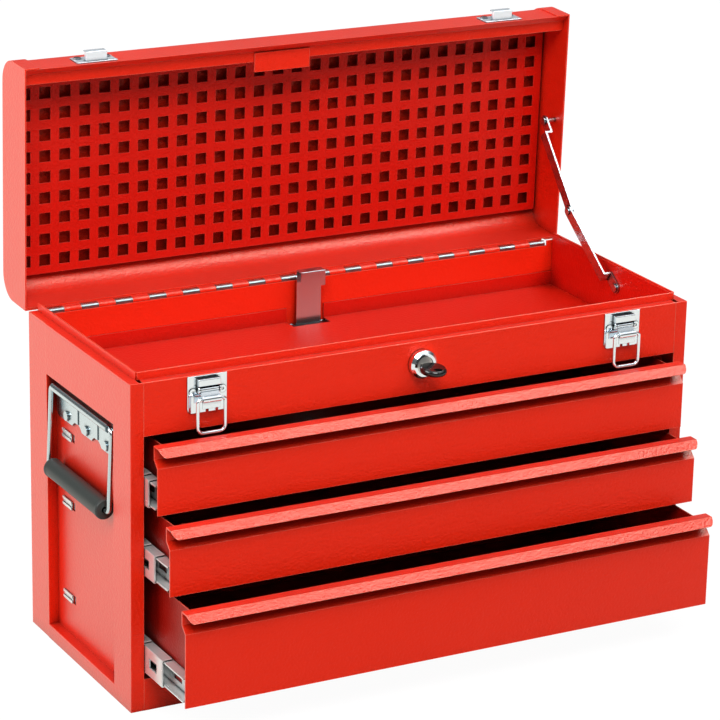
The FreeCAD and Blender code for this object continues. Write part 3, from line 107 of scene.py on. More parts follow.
class Side(StrEnum):
    """Ends of the toolbox."""

    LEFT = "left"
    RIGHT = "right"


class Level(StrEnum):
    """Drawers, from the top down."""

    TOP = "top"
    MIDDLE = "middle"
    BOTTOM = "bottom"


class Ray(StrEnum):
    """Kinds of ray that the studio answers in their own way, by their Light Path outputs."""

    CAMERA = "Is Camera Ray"
    GLOSSY = "Is Glossy Ray"
    THROUGH = "Is Transmission Ray"


class Slot(StrEnum):
    """Material slots of the record; each finish lists the one it belongs to."""

    RED = "red_paint"
    RED_INSIDE = "red_paint_inside"
    ZINC = "zinc_steel"
    CHROME = "chrome"
    RUBBER = "black_rubber"
    PLASTIC = "black_plastic"
    KEY = "key_metal"


# ---------------------------------------------------------------- shared shader nodes


def mapped(
    tree: bpy.types.NodeTree,
    value: bpy.types.NodeSocket,
    reach: Span = UNIT_SPAN,
    result: Span = UNIT_SPAN,
    smooth: bool = False,
) -> bpy.types.NodeSocket:
    """Map a value from one range onto another and hold it there.

    Args:
        tree: tree that gets the node.
        value: incoming value.
        reach: start and end of the incoming range.
        result: start and end of the result.
        smooth: whether both ends are eased.

    Returns:
        The mapped value socket.
    """
    node = tree.nodes.new("ShaderNodeMapRange")
    node.interpolation_type = "SMOOTHSTEP" if smooth else "LINEAR"
    node.inputs["From Min"].default_value, node.inputs["From Max"].default_value = reach
    node.inputs["To Min"].default_value, node.inputs["To Max"].default_value = result
    tree.links.new(value, node.inputs["Value"])
    return node.outputs["Result"]


def mixed(
    tree: bpy.types.NodeTree,
    mask: bpy.types.NodeSocket,
    low: Colour | bpy.types.NodeSocket,
    high: Colour,
) -> bpy.types.NodeSocket:
    """Mix two colours by a mask.

    Args:
        tree: tree that gets the node.
        mask: mix factor.
        low: colour where the mask is zero, or the socket that gives it.
        high: colour where the mask is one.

    Returns:
        The mixed colour socket.
    """
    node = tree.nodes.new("ShaderNodeMix")
    node.data_type = "RGBA"
    tree.links.new(mask, node.inputs[MIX_FACTOR])
    if isinstance(low, bpy.types.NodeSocket):
        tree.links.new(low, node.inputs[MIX_LOW])
    else:
        node.inputs[MIX_LOW].default_value = (*low, 1.0)
    node.inputs[MIX_HIGH].default_value = (*high, 1.0)
    return node.outputs[MIX_COLOUR]


def one_axis(tree: bpy.types.NodeTree, space: str, axis: str) -> bpy.types.NodeSocket:
    """Add one coordinate of a texture space.

    Args:
        tree: tree that gets the nodes.
        space: output name of the texture coordinates.
        axis: X, Y or Z.

    Returns:
        The coordinate's socket.
    """
    place = tree.nodes.new("ShaderNodeTexCoord")
    split = tree.nodes.new("ShaderNodeSeparateXYZ")
    tree.links.new(place.outputs[space], split.inputs["Vector"])
    return split.outputs[axis]


class ShaderGroups:
    """Groups that several finishes share: orange peel, rubbed edges with a painted highlight, a
    cloudy tone on upward faces, brushing, painted shade in hollows.
    """

    def __init__(self) -> None:
        """Build each group once."""
        self.peel = self._orange_peel()
        self.wear = self._edge_wear()
        self.dust = self._dust()
        self.brush = self._brushing()
        self.recess = self._recess()

    @staticmethod
    def _new(name: str, inputs: dict[str, float], output: str) -> bpy.types.NodeTree:
        """Make an empty group with named sockets.

        Args:
            name: name of the group.
            inputs: input names and their defaults.
            output: name of the one float output.

        Returns:
            The group, with its input and output nodes in place.
        """
        tree = bpy.data.node_groups.new(name, "ShaderNodeTree")
        for word, value in inputs.items():
            socket = tree.interface.new_socket(word, in_out="INPUT", socket_type="NodeSocketFloat")
            socket.default_value = value
        tree.interface.new_socket(output, in_out="OUTPUT", socket_type="NodeSocketFloat")
        tree.nodes.new("NodeGroupInput")
        tree.nodes.new("NodeGroupOutput")
        return tree

    @staticmethod
    def _noise(
        tree: bpy.types.NodeTree, scale: bpy.types.NodeSocket, detail: float
    ) -> bpy.types.NodeSocket:
        """Add a noise texture on object coordinates.

        Args:
            tree: group that gets the texture.
            scale: socket that sets the scale.
            detail: octaves of detail.

        Returns:
            The noise value socket.
        """
        place = tree.nodes.new("ShaderNodeTexCoord")
        noise = tree.nodes.new("ShaderNodeTexNoise")
        noise.inputs["Detail"].default_value = detail
        tree.links.new(place.outputs["Object"], noise.inputs["Vector"])
        tree.links.new(scale, noise.inputs["Scale"])
        return noise.outputs["Fac"]

    @staticmethod
    def _openness(
        tree: bpy.types.NodeTree, reach: bpy.types.NodeSocket | float
    ) -> bpy.types.NodeSocket:
        """Measure how open a spot lies, from zero in a deep hollow to one on a free face.

        Args:
            tree: group that gets the node.
            reach: distance that is looked over, a socket or a number.

        Returns:
            The openness socket.
        """
        node = tree.nodes.new("ShaderNodeAmbientOcclusion")
        node.samples = SOFT_SAMPLES
        if isinstance(reach, float):
            node.inputs["Distance"].default_value = reach
        else:
            tree.links.new(reach, node.inputs["Distance"])
        return node.outputs["AO"]

    @staticmethod
    def _ends(tree: bpy.types.NodeTree) -> tuple[bpy.types.Node, bpy.types.Node]:
        """Return a group's input and output nodes."""
        return tree.nodes["Group Input"], tree.nodes["Group Output"]

    @staticmethod
    def _math(
        tree: bpy.types.NodeTree,
        kind: str,
        first: bpy.types.NodeSocket,
        second: bpy.types.NodeSocket | float,
    ) -> bpy.types.NodeSocket:
        """Add one math node.

        Args:
            tree: group that gets the node.
            kind: Blender's name of the operation.
            first: first operand.
            second: second operand, a socket or a number.

        Returns:
            The result socket.
        """
        node = tree.nodes.new("ShaderNodeMath")
        node.operation = kind
        tree.links.new(first, node.inputs[0])
        if isinstance(second, (int, float)):
            node.inputs[1].default_value = second
        else:
            tree.links.new(second, node.inputs[1])
        return node.outputs[0]

    def _orange_peel(self) -> bpy.types.NodeTree:
        """Fine pebbled height of a sprayed and baked coat, in two sizes.

        Returns:
            The group.
        """
        tree = self._new("orange_peel", {"Coarse": 460.0, "Fine": 1100.0, "Share": 0.35}, "Height")
        start, end = self._ends(tree)
        coarse = self._noise(tree, start.outputs["Coarse"], detail=1.0)
        fine = self._noise(tree, start.outputs["Fine"], detail=1.0)
        part = self._math(tree, "MULTIPLY", fine, start.outputs["Share"])
        tree.links.new(self._math(tree, "ADD", coarse, part), end.inputs["Height"])
        return tree

    def _edge_wear(self) -> bpy.types.NodeTree:
        """Mask of outer edges, broken up by noise: partly wear where the coat is thin and handling
        polishes it, partly a painted highlight along the folds.

        Returns:
            The group.
        """
        tree = self._new("edge_wear_and_highlight", {"Reach": 0.6 * MM, "Break": 900.0}, "Mask")
        start, end = self._ends(tree)
        shape = tree.nodes.new("ShaderNodeNewGeometry")
        rounded = tree.nodes.new("ShaderNodeBevel")
        rounded.samples = SOFT_SAMPLES
        tree.links.new(start.outputs["Reach"], rounded.inputs["Radius"])
        level = tree.nodes.new("ShaderNodeVectorMath")
        level.operation = "DOT_PRODUCT"
        tree.links.new(shape.outputs["Normal"], level.inputs[0])
        tree.links.new(rounded.outputs["Normal"], level.inputs[1])
        turned = mapped(tree, level.outputs["Value"], EDGE_LEVEL)
        outer = mapped(tree, self._openness(tree, EDGE_REACH), EDGE_OPENNESS)
        edge = self._math(tree, "MULTIPLY", turned, outer)
        noise = self._noise(tree, start.outputs["Break"], detail=2.0)
        lifted = self._math(tree, "ADD", noise, EDGE_LIFT)
        tree.links.new(self._math(tree, "MULTIPLY", edge, lifted), end.inputs["Mask"])
        return tree

    def _dust(self) -> bpy.types.NodeTree:
        """Faint cloudy mask on faces that look up, which the finishes use for a darker tone there.

        Returns:
            The group.
        """
        tree = self._new("upward_cloudy_tone", {"Scale": 14.0, "Amount": 0.3}, "Mask")
        start, end = self._ends(tree)
        shape = tree.nodes.new("ShaderNodeNewGeometry")
        split = tree.nodes.new("ShaderNodeSeparateXYZ")
        tree.links.new(shape.outputs["Normal"], split.inputs["Vector"])
        upward = self._math(tree, "MAXIMUM", split.outputs["Z"], 0.0)
        cloud = self._noise(tree, start.outputs["Scale"], detail=5.0)
        settled = self._math(tree, "MULTIPLY", upward, cloud)
        mask = self._math(tree, "MULTIPLY", settled, start.outputs["Amount"])
        tree.links.new(mask, end.inputs["Mask"])
        return tree

    def _recess(self) -> bpy.types.NodeTree:
        """Mask of slots, seams and hollows, where little light gets in; the finishes darken there
        as painted shade.

        Returns:
            The group.
        """
        tree = self._new("recess", {"Reach": 20 * MM, "Open": 0.6, "Shut": 0.2}, "Mask")
        start, end = self._ends(tree)
        mask = mapped(tree, self._openness(tree, start.outputs["Reach"]))
        tree.links.new(start.outputs["Open"], mask.node.inputs["From Min"])
        tree.links.new(start.outputs["Shut"], mask.node.inputs["From Max"])
        tree.links.new(mask, end.inputs["Mask"])
        return tree

    def _brushing(self) -> bpy.types.NodeTree:
        """Fine drawn streaks and grain of plated sheet steel.

        Returns:
            The group.
        """
        tree = self._new("brushing", {"Along": 45.0, "Across": 1400.0}, "Value")
        start, end = self._ends(tree)
        place = tree.nodes.new("ShaderNodeTexCoord")
        stretch = tree.nodes.new("ShaderNodeCombineXYZ")
        for axis, word in (("X", "Across"), ("Y", "Along"), ("Z", "Across")):
            tree.links.new(start.outputs[word], stretch.inputs[axis])
        scaled = tree.nodes.new("ShaderNodeVectorMath")
        scaled.operation = "MULTIPLY"
        tree.links.new(place.outputs["Object"], scaled.inputs[0])
        tree.links.new(stretch.outputs["Vector"], scaled.inputs[1])
        noise = tree.nodes.new("ShaderNodeTexNoise")
        noise.inputs["Scale"].default_value = 1.0
        noise.inputs["Detail"].default_value = 2.0
        tree.links.new(scaled.outputs["Vector"], noise.inputs["Vector"])
        tree.links.new(noise.outputs["Fac"], end.inputs["Value"])
        return tree


# ---------------------------------------------------------------- finishes


class MaterialSheet:
    """One node material under construction."""

    def __init__(self, name: str) -> None:
        """Start a material with a Principled BSDF.

        Args:
            name: name of the material.
        """
        self.material = bpy.data.materials.new(name)
        self.material.use_nodes = True
        self.tree = self.material.node_tree
        self.shader = self.tree.nodes["Principled BSDF"]

    def group(self, source: bpy.types.NodeTree, **values: float) -> bpy.types.NodeSocket:
        """Place a shared group and set its inputs.

        Args:
            source: the node group.
            **values: numbers for its inputs by name.

        Returns:
            The socket of the group's one output.
        """
        node = self.tree.nodes.new("ShaderNodeGroup")
        node.node_tree = source
        for word, value in values.items():
            node.inputs[word].default_value = value
        return node.outputs[0]

    def bump(self, height: bpy.types.NodeSocket, strength: float, depth: float) -> None:
        """Feed a height into the shader's normal.

        Args:
            height: height socket.
            strength: share of the bump that shows.
            depth: depth of a full step in metres.
        """
        node = self.tree.nodes.new("ShaderNodeBump")
        node.inputs["Strength"].default_value = strength
        node.inputs["Distance"].default_value = depth
        self.tree.links.new(height, node.inputs["Height"])
        self.feed(node.outputs["Normal"], "Normal")

    def gloss(self, reach: Span, most: float) -> None:
        """Give the surface a clear skin that shows more the flatter it is looked along.

        Args:
            reach: facing values between which the skin comes in.
            most: weight of the skin at the far end.
        """
        slant = self.tree.nodes.new("ShaderNodeLayerWeight")
        slant.inputs["Blend"].default_value = FACING_BLEND
        self.feed(mapped(self.tree, slant.outputs["Facing"], reach, (0.0, most)), "Coat Weight")

    def rough(self, value: bpy.types.NodeSocket, middle: float, spread: float) -> None:
        """Let a zero to one value move the roughness round its middle.

        Args:
            value: incoming value.
            middle: mean roughness.
            spread: most that it moves either way.
        """
        ends = (middle - spread, middle + spread)
        self.feed(mapped(self.tree, value, result=ends), "Roughness")

    def feed(self, socket: bpy.types.NodeSocket, name: str) -> None:
        """Link a socket to the shader's input of that name."""
        self.tree.links.new(socket, self.shader.inputs[name])

    def put(self, **values: float | Colour) -> None:
        """Set plain values on the shader; underscores stand for spaces.

        Args:
            **values: numbers, or colours without alpha, by input name.
        """
        for word, value in values.items():
            plain_value = (*value, 1.0) if isinstance(value, tuple) else value
            self.shader.inputs[word.replace("_", " ")].default_value = plain_value


@dataclass(frozen=True)
class PowderCoat:
    """Sprayed and baked colour coat on sheet steel."""

    name: str
    colour: Colour
    deep: Colour
    # Lighter colour on outer edges: partly wear, partly a painted highlight along the folds.
    rubbed: Colour = (0.92, 0.20, 0.13)
    rubbed_reach: float = 0.6 * MM
    cloud_scale: float = 9.0
    cloud_amount: float = 0.8
    # Darkening in slots, seams and under the lips: painted shade.
    hollow_reach: float = 25 * MM
    hollow_tone: float = 0.15
    roughness: float = 0.33
    spread: float = 0.05
    specular: float = 0.22
    sheen: Colour = (1.0, 0.90, 0.74)
    skin: float = 0.85
    skin_reach: Span = (0.20, 0.56)
    skin_index: float = 1.8
    peel: float = 1.0
    peel_depth: float = 0.5 * MM

    def make(self, groups: ShaderGroups) -> bpy.types.Material:
        """Build the material.

        Args:
            groups: shared shader groups.

        Returns:
            The finished material.
        """
        sheet = MaterialSheet(self.name)
        cloud = sheet.group(groups.dust, Scale=self.cloud_scale, Amount=self.cloud_amount)
        wear = sheet.group(groups.wear, Reach=self.rubbed_reach)
        recess = sheet.group(groups.recess, Reach=self.hollow_reach)
        # Faces that look up take a cloudy darker tone.
        toned = mixed(sheet.tree, cloud, self.colour, self.deep)
        # Outer edges lighten: partly wear, partly a painted highlight along the folds.
        lit = mixed(sheet.tree, wear, toned, self.rubbed)
        # Slots, seams and hollows darken towards this colour: painted shade.
        hollow = tuple(part * self.hollow_tone for part in self.colour)
        sheet.feed(mixed(sheet.tree, recess, lit, hollow), "Base Color")
        peel = sheet.group(groups.peel)
        sheet.rough(peel, self.roughness, self.spread)
        sheet.bump(peel, self.peel, self.peel_depth)
        sheet.gloss(self.skin_reach, self.skin)
        sheet.put(Specular_IOR_Level=self.specular, Specular_Tint=self.sheen)
        sheet.put(Coat_IOR=self.skin_index, Coat_Roughness=self.roughness, Coat_Tint=self.sheen)
        return sheet.material


@dataclass(frozen=True)
class PlatedSteel:
    """Zinc or chrome plate on steel."""

    name: str
    colour: Colour
    shade: Colour
    roughness: float
    spread: float
    grain: float
    grain_depth: float = 0.04 * MM
    metal: float = 1.0
    dust_scale: float = 60.0
    dust_amount: float = 0.6
    # Near-black colour in slots and hollows: painted shade.
    hollow: Colour = (0.015, 0.035, 0.042)
    hollow_reach: float = 3.2 * MM
    hollow_open: float = 0.92
    hollow_shut: float = 0.45

    def make(self, groups: ShaderGroups) -> bpy.types.Material:
        """Build the material.

        Args:
            groups: shared shader groups.

        Returns:
            The finished material.
        """
        sheet = MaterialSheet(self.name)
        brush = sheet.group(groups.brush)
        dust = sheet.group(groups.dust, Scale=self.dust_scale, Amount=self.dust_amount)
        recess = sheet.group(
            groups.recess, Reach=self.hollow_reach, Open=self.hollow_open, Shut=self.hollow_shut
        )
        # Faces that look up take a cloudy darker tone.
        clean = mixed(sheet.tree, dust, self.colour, self.shade)
        # Slots and hollows darken towards near black: painted shade.
        sheet.feed(mixed(sheet.tree, recess, clean, self.hollow), "Base Color")
        sheet.rough(brush, self.roughness, self.spread)
        sheet.bump(brush, self.grain, self.grain_depth)
        sheet.put(Metallic=self.metal)
        return sheet.material


@dataclass(frozen=True)
class MouldedBlack:
    """Black rubber or plastic with a fine moulded grain."""

    name: str
    colour: Colour
    scuffed: Colour
    roughness: float
    grain: float
    specular: float
    spread: float = 0.08
    scuff_reach: float = 0.5 * MM
    scuff_break: float = 600.0
    coarse: float = 1600.0
    fine: float = 3600.0
    grain_depth: float = 0.08 * MM

    def make(self, groups: ShaderGroups) -> bpy.types.Material:
        """Build the material.

        Args:
            groups: shared shader groups.

        Returns:
            The finished material.
        """
        sheet = MaterialSheet(self.name)
        wear = sheet.group(groups.wear, Reach=self.scuff_reach, Break=self.scuff_break)
        sheet.feed(mixed(sheet.tree, wear, self.colour, self.scuffed), "Base Color")
        grain = sheet.group(groups.peel, Coarse=self.coarse, Fine=self.fine)
        sheet.rough(grain, self.roughness, self.spread)
        sheet.bump(grain, self.grain, self.grain_depth)
        sheet.put(Specular_IOR_Level=self.specular)
        return sheet.material


class Look(Enum):
    """Finish of a piece: the record's slot it belongs to, and the material made for it."""

    RED = (Slot.RED, PowderCoat("red_powder_coat", (0.85, 0.020, 0.004), (0.49, 0.011, 0.002)))
    # Pan and lid liner: the red coat made darker than outside, painted shade for the dimmer inside.
    TRAY = (
        Slot.RED_INSIDE,
        PowderCoat(
            "red_coat_inside_painted_shade",
            colour=(0.65, 0.007, 0.002),
            deep=(0.62, 0.016, 0.003),
            rubbed=(0.78, 0.06, 0.04),
            skin=0.4,
        ),
    )
    # Drawer trays: the red coat darkened further, painted shade that keeps the drawer gaps dark.
    DRAWER = (
        Slot.RED_INSIDE,
        PowderCoat(
            "red_coat_painted_dark", colour=(0.32, 0.004, 0.001), deep=(0.26, 0.003, 0.001), skin=0.3
        ),
    )
    ZINC = (
        Slot.ZINC,
        PlatedSteel(
            "bright_zinc",
            colour=(0.60, 0.70, 0.74),
            shade=(0.50, 0.58, 0.62),
            roughness=0.24,
            spread=0.04,
            grain=0.08,
        ),
    )
    # Hinge: a darker copy of the zinc, so its reflections paint the knuckles dim.
    HINGE = (
        Slot.ZINC,
        PlatedSteel(
            "hinge_zinc_painted_dim",
            colour=(0.46, 0.52, 0.54),
            shade=(0.30, 0.34, 0.36),
            roughness=0.18,
            spread=0.04,
            grain=0.08,
        ),
    )
    # Slides and tabs: a paler, partly matt copy of the zinc, painted brighter than the plate.
    SLIDE = (
        Slot.ZINC,
        PlatedSteel(
            "rolled_zinc_painted_pale",
            colour=(0.86, 0.89, 0.88),
            shade=(0.72, 0.76, 0.76),
            roughness=0.26,
            spread=0.03,
            grain=0.04,
            metal=0.65,
        ),
    )
    CHROME = (
        Slot.CHROME,
        PlatedSteel(
            "polished_chrome",
            colour=(0.84, 0.91, 0.97),
            shade=(0.72, 0.78, 0.84),
            roughness=0.09,
            spread=0.03,
            grain=0.10,
        ),
    )
    # Strikes: a satin, paler copy of the chrome, its matt share painted light.
    STRIKE = (
        Slot.CHROME,
        PlatedSteel(
            "satin_chrome_painted_pale",
            colour=(0.84, 0.91, 0.97),
            shade=(0.72, 0.78, 0.84),
            roughness=0.24,
            spread=0.03,
            grain=0.10,
            metal=0.6,
        ),
    )
    PLUG = (
        Slot.CHROME,
        PlatedSteel(
            "machined_plug",
            colour=(0.62, 0.60, 0.56),
            shade=(0.40, 0.39, 0.36),
            roughness=0.30,
            spread=0.08,
            grain=0.3,
            metal=0.7,
            hollow_reach=0.4 * MM,
        ),
    )
    RUBBER = (
        Slot.RUBBER,
        MouldedBlack(
            "handle_rubber",
            colour=(0.035, 0.042, 0.039),
            scuffed=(0.08, 0.09, 0.09),
            roughness=0.38,
            grain=0.5,
            specular=0.35,
        ),
    )
    PLASTIC = (
        Slot.PLASTIC,
        MouldedBlack(
            "key_plastic",
            colour=(0.006, 0.005, 0.005),
            scuffed=(0.03, 0.02, 0.02),
            roughness=0.16,
            grain=0.1,
            specular=0.5,
        ),
    )
    KEY = (
        Slot.KEY,
        PlatedSteel(
            "key_nickel",
            colour=(0.68, 0.66, 0.60),
            shade=(0.56, 0.54, 0.48),
            roughness=0.22,
            spread=0.05,
            grain=0.2,
        ),
    )

    def __init__(self, slot: Slot, finish: PowderCoat | PlatedSteel | MouldedBlack) -> None:
        """Keep the slot and the finish."""
        self.slot = slot
        self.finish = finish


# ---------------------------------------------------------------- building pieces


class Bench:
    """Holds the frame and the materials, and turns meshes into pieces that ride on the frame."""

    def __init__(self, frame: dict) -> None:
        """Read the frame's nodes and bodies and make every finish.

        Args:
            frame: the loaded frame.
        """
        self.nodes = frame["nodes"]
        bodies = frame["record"]["behaviour"]["bodies"]
        self.body = {node: body for body, members in bodies.items() for node in members}
        groups = ShaderGroups()
        self.materials = {look: look.finish.make(groups) for look in Look}
        self.made: list[str] = []

    def merged(self, node: str) -> bmesh.types.BMesh:
        """Copy a CAD node's triangles into one closed mesh with plain flat faces.

        Args:
            node: name of the node.

        Returns:
            A new bmesh.
        """
        mesh = bmesh.new()
        mesh.from_mesh(self.nodes[node].data)
        bmesh.ops.remove_doubles(mesh, verts=mesh.verts, dist=MERGE_DISTANCE)
        bmesh.ops.dissolve_limit(
            mesh,
            angle_limit=PLANAR_ANGLE,
            use_dissolve_boundaries=False,
            verts=mesh.verts,
            edges=mesh.edges,
        )
        return mesh

    def piece(
        self,
        mesh: bmesh.types.BMesh,
        name: str,
        body: str,
        look: Look,
        crease: float = SMOOTH_ANGLE,
    ) -> bpy.types.Object:
        """Turn a bmesh into a piece that rides on a body.

        Args:
            mesh: finished mesh, in metres and in place; it is freed.
            name: name of the piece.
            body: body that carries it.
            look: finish to use.
            crease: angle from which two faces keep a crease between them.

        Returns:
            The new object.
        """
        mesh.normal_update()
        level = math.cos(crease)
        normals = [self._even(loop, level) for face in mesh.faces for loop in face.loops]
        data = bpy.data.meshes.new(name)
        mesh.to_mesh(data)
        mesh.free()
        data.polygons.foreach_set("use_smooth", [True] * len(data.polygons))
        data.normals_split_custom_set(normals)
        data.materials.append(self.materials[look])
        item = bpy.data.objects.new(name, data)
        bpy.context.scene.collection.objects.link(item)
        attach(item, body)
        self.made.append(name)
        LOG.info("made %s on %s", name, body)
        return item

    @staticmethod
    def _even(loop: bmesh.types.BMLoop, level: float) -> Vector:
        """Normal of a face corner, led by the widest of the nearly level faces that meet there.

        Args:
            loop: the face corner.
            level: cosine of the angle up to which faces share a normal.

        Returns:
            The unit normal.
        """
        own = loop.face.normal
        total = Vector()
        for face in loop.vert.link_faces:
            if own.dot(face.normal) > level:
                total += face.normal * face.calc_area()
        return total.normalized() if total.length > 0 else own

    @staticmethod
    def _rounded(
        mesh: bmesh.types.BMesh, edges: list[bmesh.types.BMEdge], width: float, steps: int
    ) -> None:
        """Round a set of edges in place.

        Args:
            mesh: mesh to change.
            edges: edges to round.
            width: width of the round.
            steps: segments across it.
        """
        if edges:
            bmesh.ops.bevel(
                mesh,
                geom=edges,
                offset=width,
                offset_type="OFFSET",
                segments=steps,
                profile=0.5,
                affect="EDGES",
                clamp_overlap=True,
                material=-1,
                miter_outer="ARC",
            )

    @staticmethod
    def _width(face: bmesh.types.BMFace, edge: bmesh.types.BMEdge) -> float:
        """Mean width of a face across an edge."""
        return face.calc_area() / max(edge.calc_length(), MM)

    def _folds(self, mesh: bmesh.types.BMesh, crease: float) -> list[bmesh.types.BMEdge]:
        """Find the convex bends between two wide faces.

        Args:
            mesh: mesh to search.
            crease: least angle of a bend.

        Returns:
            The edges found.
        """
        found = []
        for edge in mesh.edges:
            if len(edge.link_faces) != 2 or not edge.is_convex:
                continue
            narrow = min(self._width(face, edge) for face in edge.link_faces)
            sharp = edge.calc_face_angle(0.0) > crease
            if sharp and narrow > LEAST_SHEET_WIDTH and edge.calc_length() >= LEAST_FOLD_LENGTH:
                found.append(edge)
        return found

    @staticmethod
    def _rims(mesh: bmesh.types.BMesh) -> list[bmesh.types.BMEdge]:
        """Find the sharp convex edges that are left.

        Args:
            mesh: mesh to search.

        Returns:
            The edges found.
        """
        return [
            edge
            for edge in mesh.edges
            if edge.calc_face_angle(0.0) > SMOOTH_ANGLE and edge.is_convex
        ]

    @staticmethod
    def _sound(mesh: bmesh.types.BMesh) -> bool:
        """Tell whether every face still fills with triangles of its own area.

        Args:
            mesh: mesh to test.

        Returns:
            True where no face folds over itself.
        """
        mesh.normal_update()
        mesh.faces.index_update()
        filled = [0.0] * len(mesh.faces)
        for first, second, third in mesh.calc_loop_triangles():
            across = (second.vert.co - first.vert.co).cross(third.vert.co - first.vert.co)
            filled[first.face.index] += across.length / 2
        return all(abs(filled[face.index] - face.calc_area()) < AREA_SLACK for face in mesh.faces)

    def _try_rounded(
        self,
        mesh: bmesh.types.BMesh,
        edges: Callable[[bmesh.types.BMesh], list[bmesh.types.BMEdge]],
        width: float,
        steps: int,
    ) -> bmesh.types.BMesh:
        """Round edges, at a smaller width or not at all where the round would spoil a face.

        Args:
            mesh: mesh to round.
            edges: function that finds the edges in a mesh.
            width: width of the round.
            steps: segments across it.

        Returns:
            The rounded mesh, or the one given.
        """
        for share in ROUND_SHARES:
            trial = mesh.copy()
            self._rounded(trial, edges(trial), width * share, steps)
            if self._sound(trial):
                mesh.free()
                return trial
            trial.free()
        mesh.normal_update()
        return mesh

    def formed(
        self,
        node: str,
        look: Look,
        fold: float,
        cut: float = 0.22 * MM,
        crease: float = SMOOTH_ANGLE,
    ) -> None:
        """Stand a folded copy in for a sheet node: wide bends, and fine breaks at its cut edges.

        Args:
            node: node that the piece replaces.
            look: finish to use.
            fold: outside width of a bend.
            cut: width of the break on a cut edge.
            crease: least angle of a bend.
        """
        mesh = self.merged(node)
        mesh = self._try_rounded(mesh, lambda trial: self._folds(trial, crease), fold, FOLD_STEPS)
        mesh = self._try_rounded(mesh, self._rims, cut, CUT_STEPS)
        item = self.piece(mesh, node + "_formed", self.body[node], look, crease)
        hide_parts(node)

    def smoothed(self, node: str, look: Look) -> None:
        """Stand a copy in for a node that keeps its shape but gets joined faces and even normals.

        Args:
            node: node that the piece replaces.
            look: finish to use.
        """
        item = self.piece(self.merged(node), node + "_smooth", self.body[node], look)
        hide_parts(node)

    def lathed(
        self, outline: list[Span], centre: Vector, axis: Vector, steps: int = 48
    ) -> bmesh.types.BMesh:
        """Spin an outline round an axis.

        Args:
            outline: (distance along the axis, radius) pairs in metres, from end to end.
            centre: point that distance zero lies on.
            axis: direction of the axis.
            steps: number of steps round.

        Returns:
            A closed bmesh.
        """
        turn = axis.to_track_quat("X", "Z").to_matrix()
        mesh = bmesh.new()
        places = [centre + turn @ Vector((along, 0.0, out)) for along, out in outline]
        dots = [mesh.verts.new(place) for place in places]
        for first, second in zip(dots, dots[1:]):
            mesh.edges.new((first, second))
        bmesh.ops.spin(
            mesh,
            geom=[*mesh.verts, *mesh.edges],
            cent=centre,
            axis=axis,
            angle=math.tau,
            steps=steps,
            use_merge=True,
        )
        bmesh.ops.remove_doubles(mesh, verts=mesh.verts, dist=MERGE_DISTANCE)
        bmesh.ops.recalc_face_normals(mesh, faces=mesh.faces)
        return mesh


# ---------------------------------------------------------------- sub-assemblies


@dataclass
class CaseShell:
    """Painted case: sides, wrap-round back, header with its rim, base and the pan in its top."""

    bench: Bench
    fold: float = 1.3 * MM

    def build(self) -> None:
        """Make each folded sheet of the case."""
        for node in (
            "side_panel_left",
            "side_panel_right",
            "rear_panel",
            "front_panel",
            "base_panel",
        ):
            self.bench.formed(node, Look.RED, self.fold)
        self.bench.formed("tray_pan", Look.TRAY, self.fold)


@dataclass
class LidUnit:
    """Lid shell with its end caps, holed liner and the red striker plate."""

    bench: Bench
    fold: float = 1.2 * MM
    striker_fold: float = 0.4 * MM
    striker_cut: float = 0.3 * MM

    def build(self) -> None:
        """Make the lid's sheets."""
        for node in ("lid_shell", "lid_end_cap_left", "lid_end_cap_right"):
            self.bench.formed(node, Look.RED, self.fold)
        self.bench.formed("lid_striker_plate", Look.RED, self.striker_fold, self.striker_cut)
        self.bench.smoothed("perforated_panel", Look.TRAY)


@dataclass
class DrawerUnit:
    """One drawer: folded front with its finger lip, and the tray behind it, darkened as painted
    shade.
    """

    bench: Bench
    level: Level
    fold: float = 1.1 * MM

    def build(self) -> None:
        """Make the front and the tray."""
        front = f"drawer_front_{self.level}"
        self.bench.formed(front, Look.RED, self.fold, crease=LIP_CREASE)
        self.bench.formed(f"drawer_tray_{self.level}", Look.DRAWER, self.fold)


@dataclass
class SlideSet:
    """Zinc slide members of all drawers, with the tabs that hold them to the case."""

    bench: Bench
    inner: tuple[str, str] = ("drawer", "middle")
    fold: float = 1.4 * MM
    cut: float = 0.15 * MM
    tab_fold: float = 0.5 * MM
    tab_cut: float = 0.2 * MM

    def build(self) -> None:
        """Make the rolled channels and the tabs."""
        inner = [f"slide_{part}_members_{level}" for level in Level for part in self.inner]
        outer = [f"slide_cabinet_members_{side}" for side in Side]
        for node in (*inner, *outer):
            self.bench.formed(node, Look.SLIDE, self.fold, self.cut)
        self.bench.formed("slide_retaining_tabs", Look.SLIDE, self.tab_fold, self.tab_cut)


@dataclass
class PianoHinge:
    """Hinge along the back: bare leaf on the case, painted leaf on the lid."""

    bench: Bench

    def build(self) -> None:
        """Dress the leaves and the pin."""
        self.bench.smoothed("hinge_leaf_case", Look.HINGE)
        self.bench.smoothed("hinge_leaf_lid", Look.RED)
        self.bench.smoothed("hinge_pin", Look.HINGE)


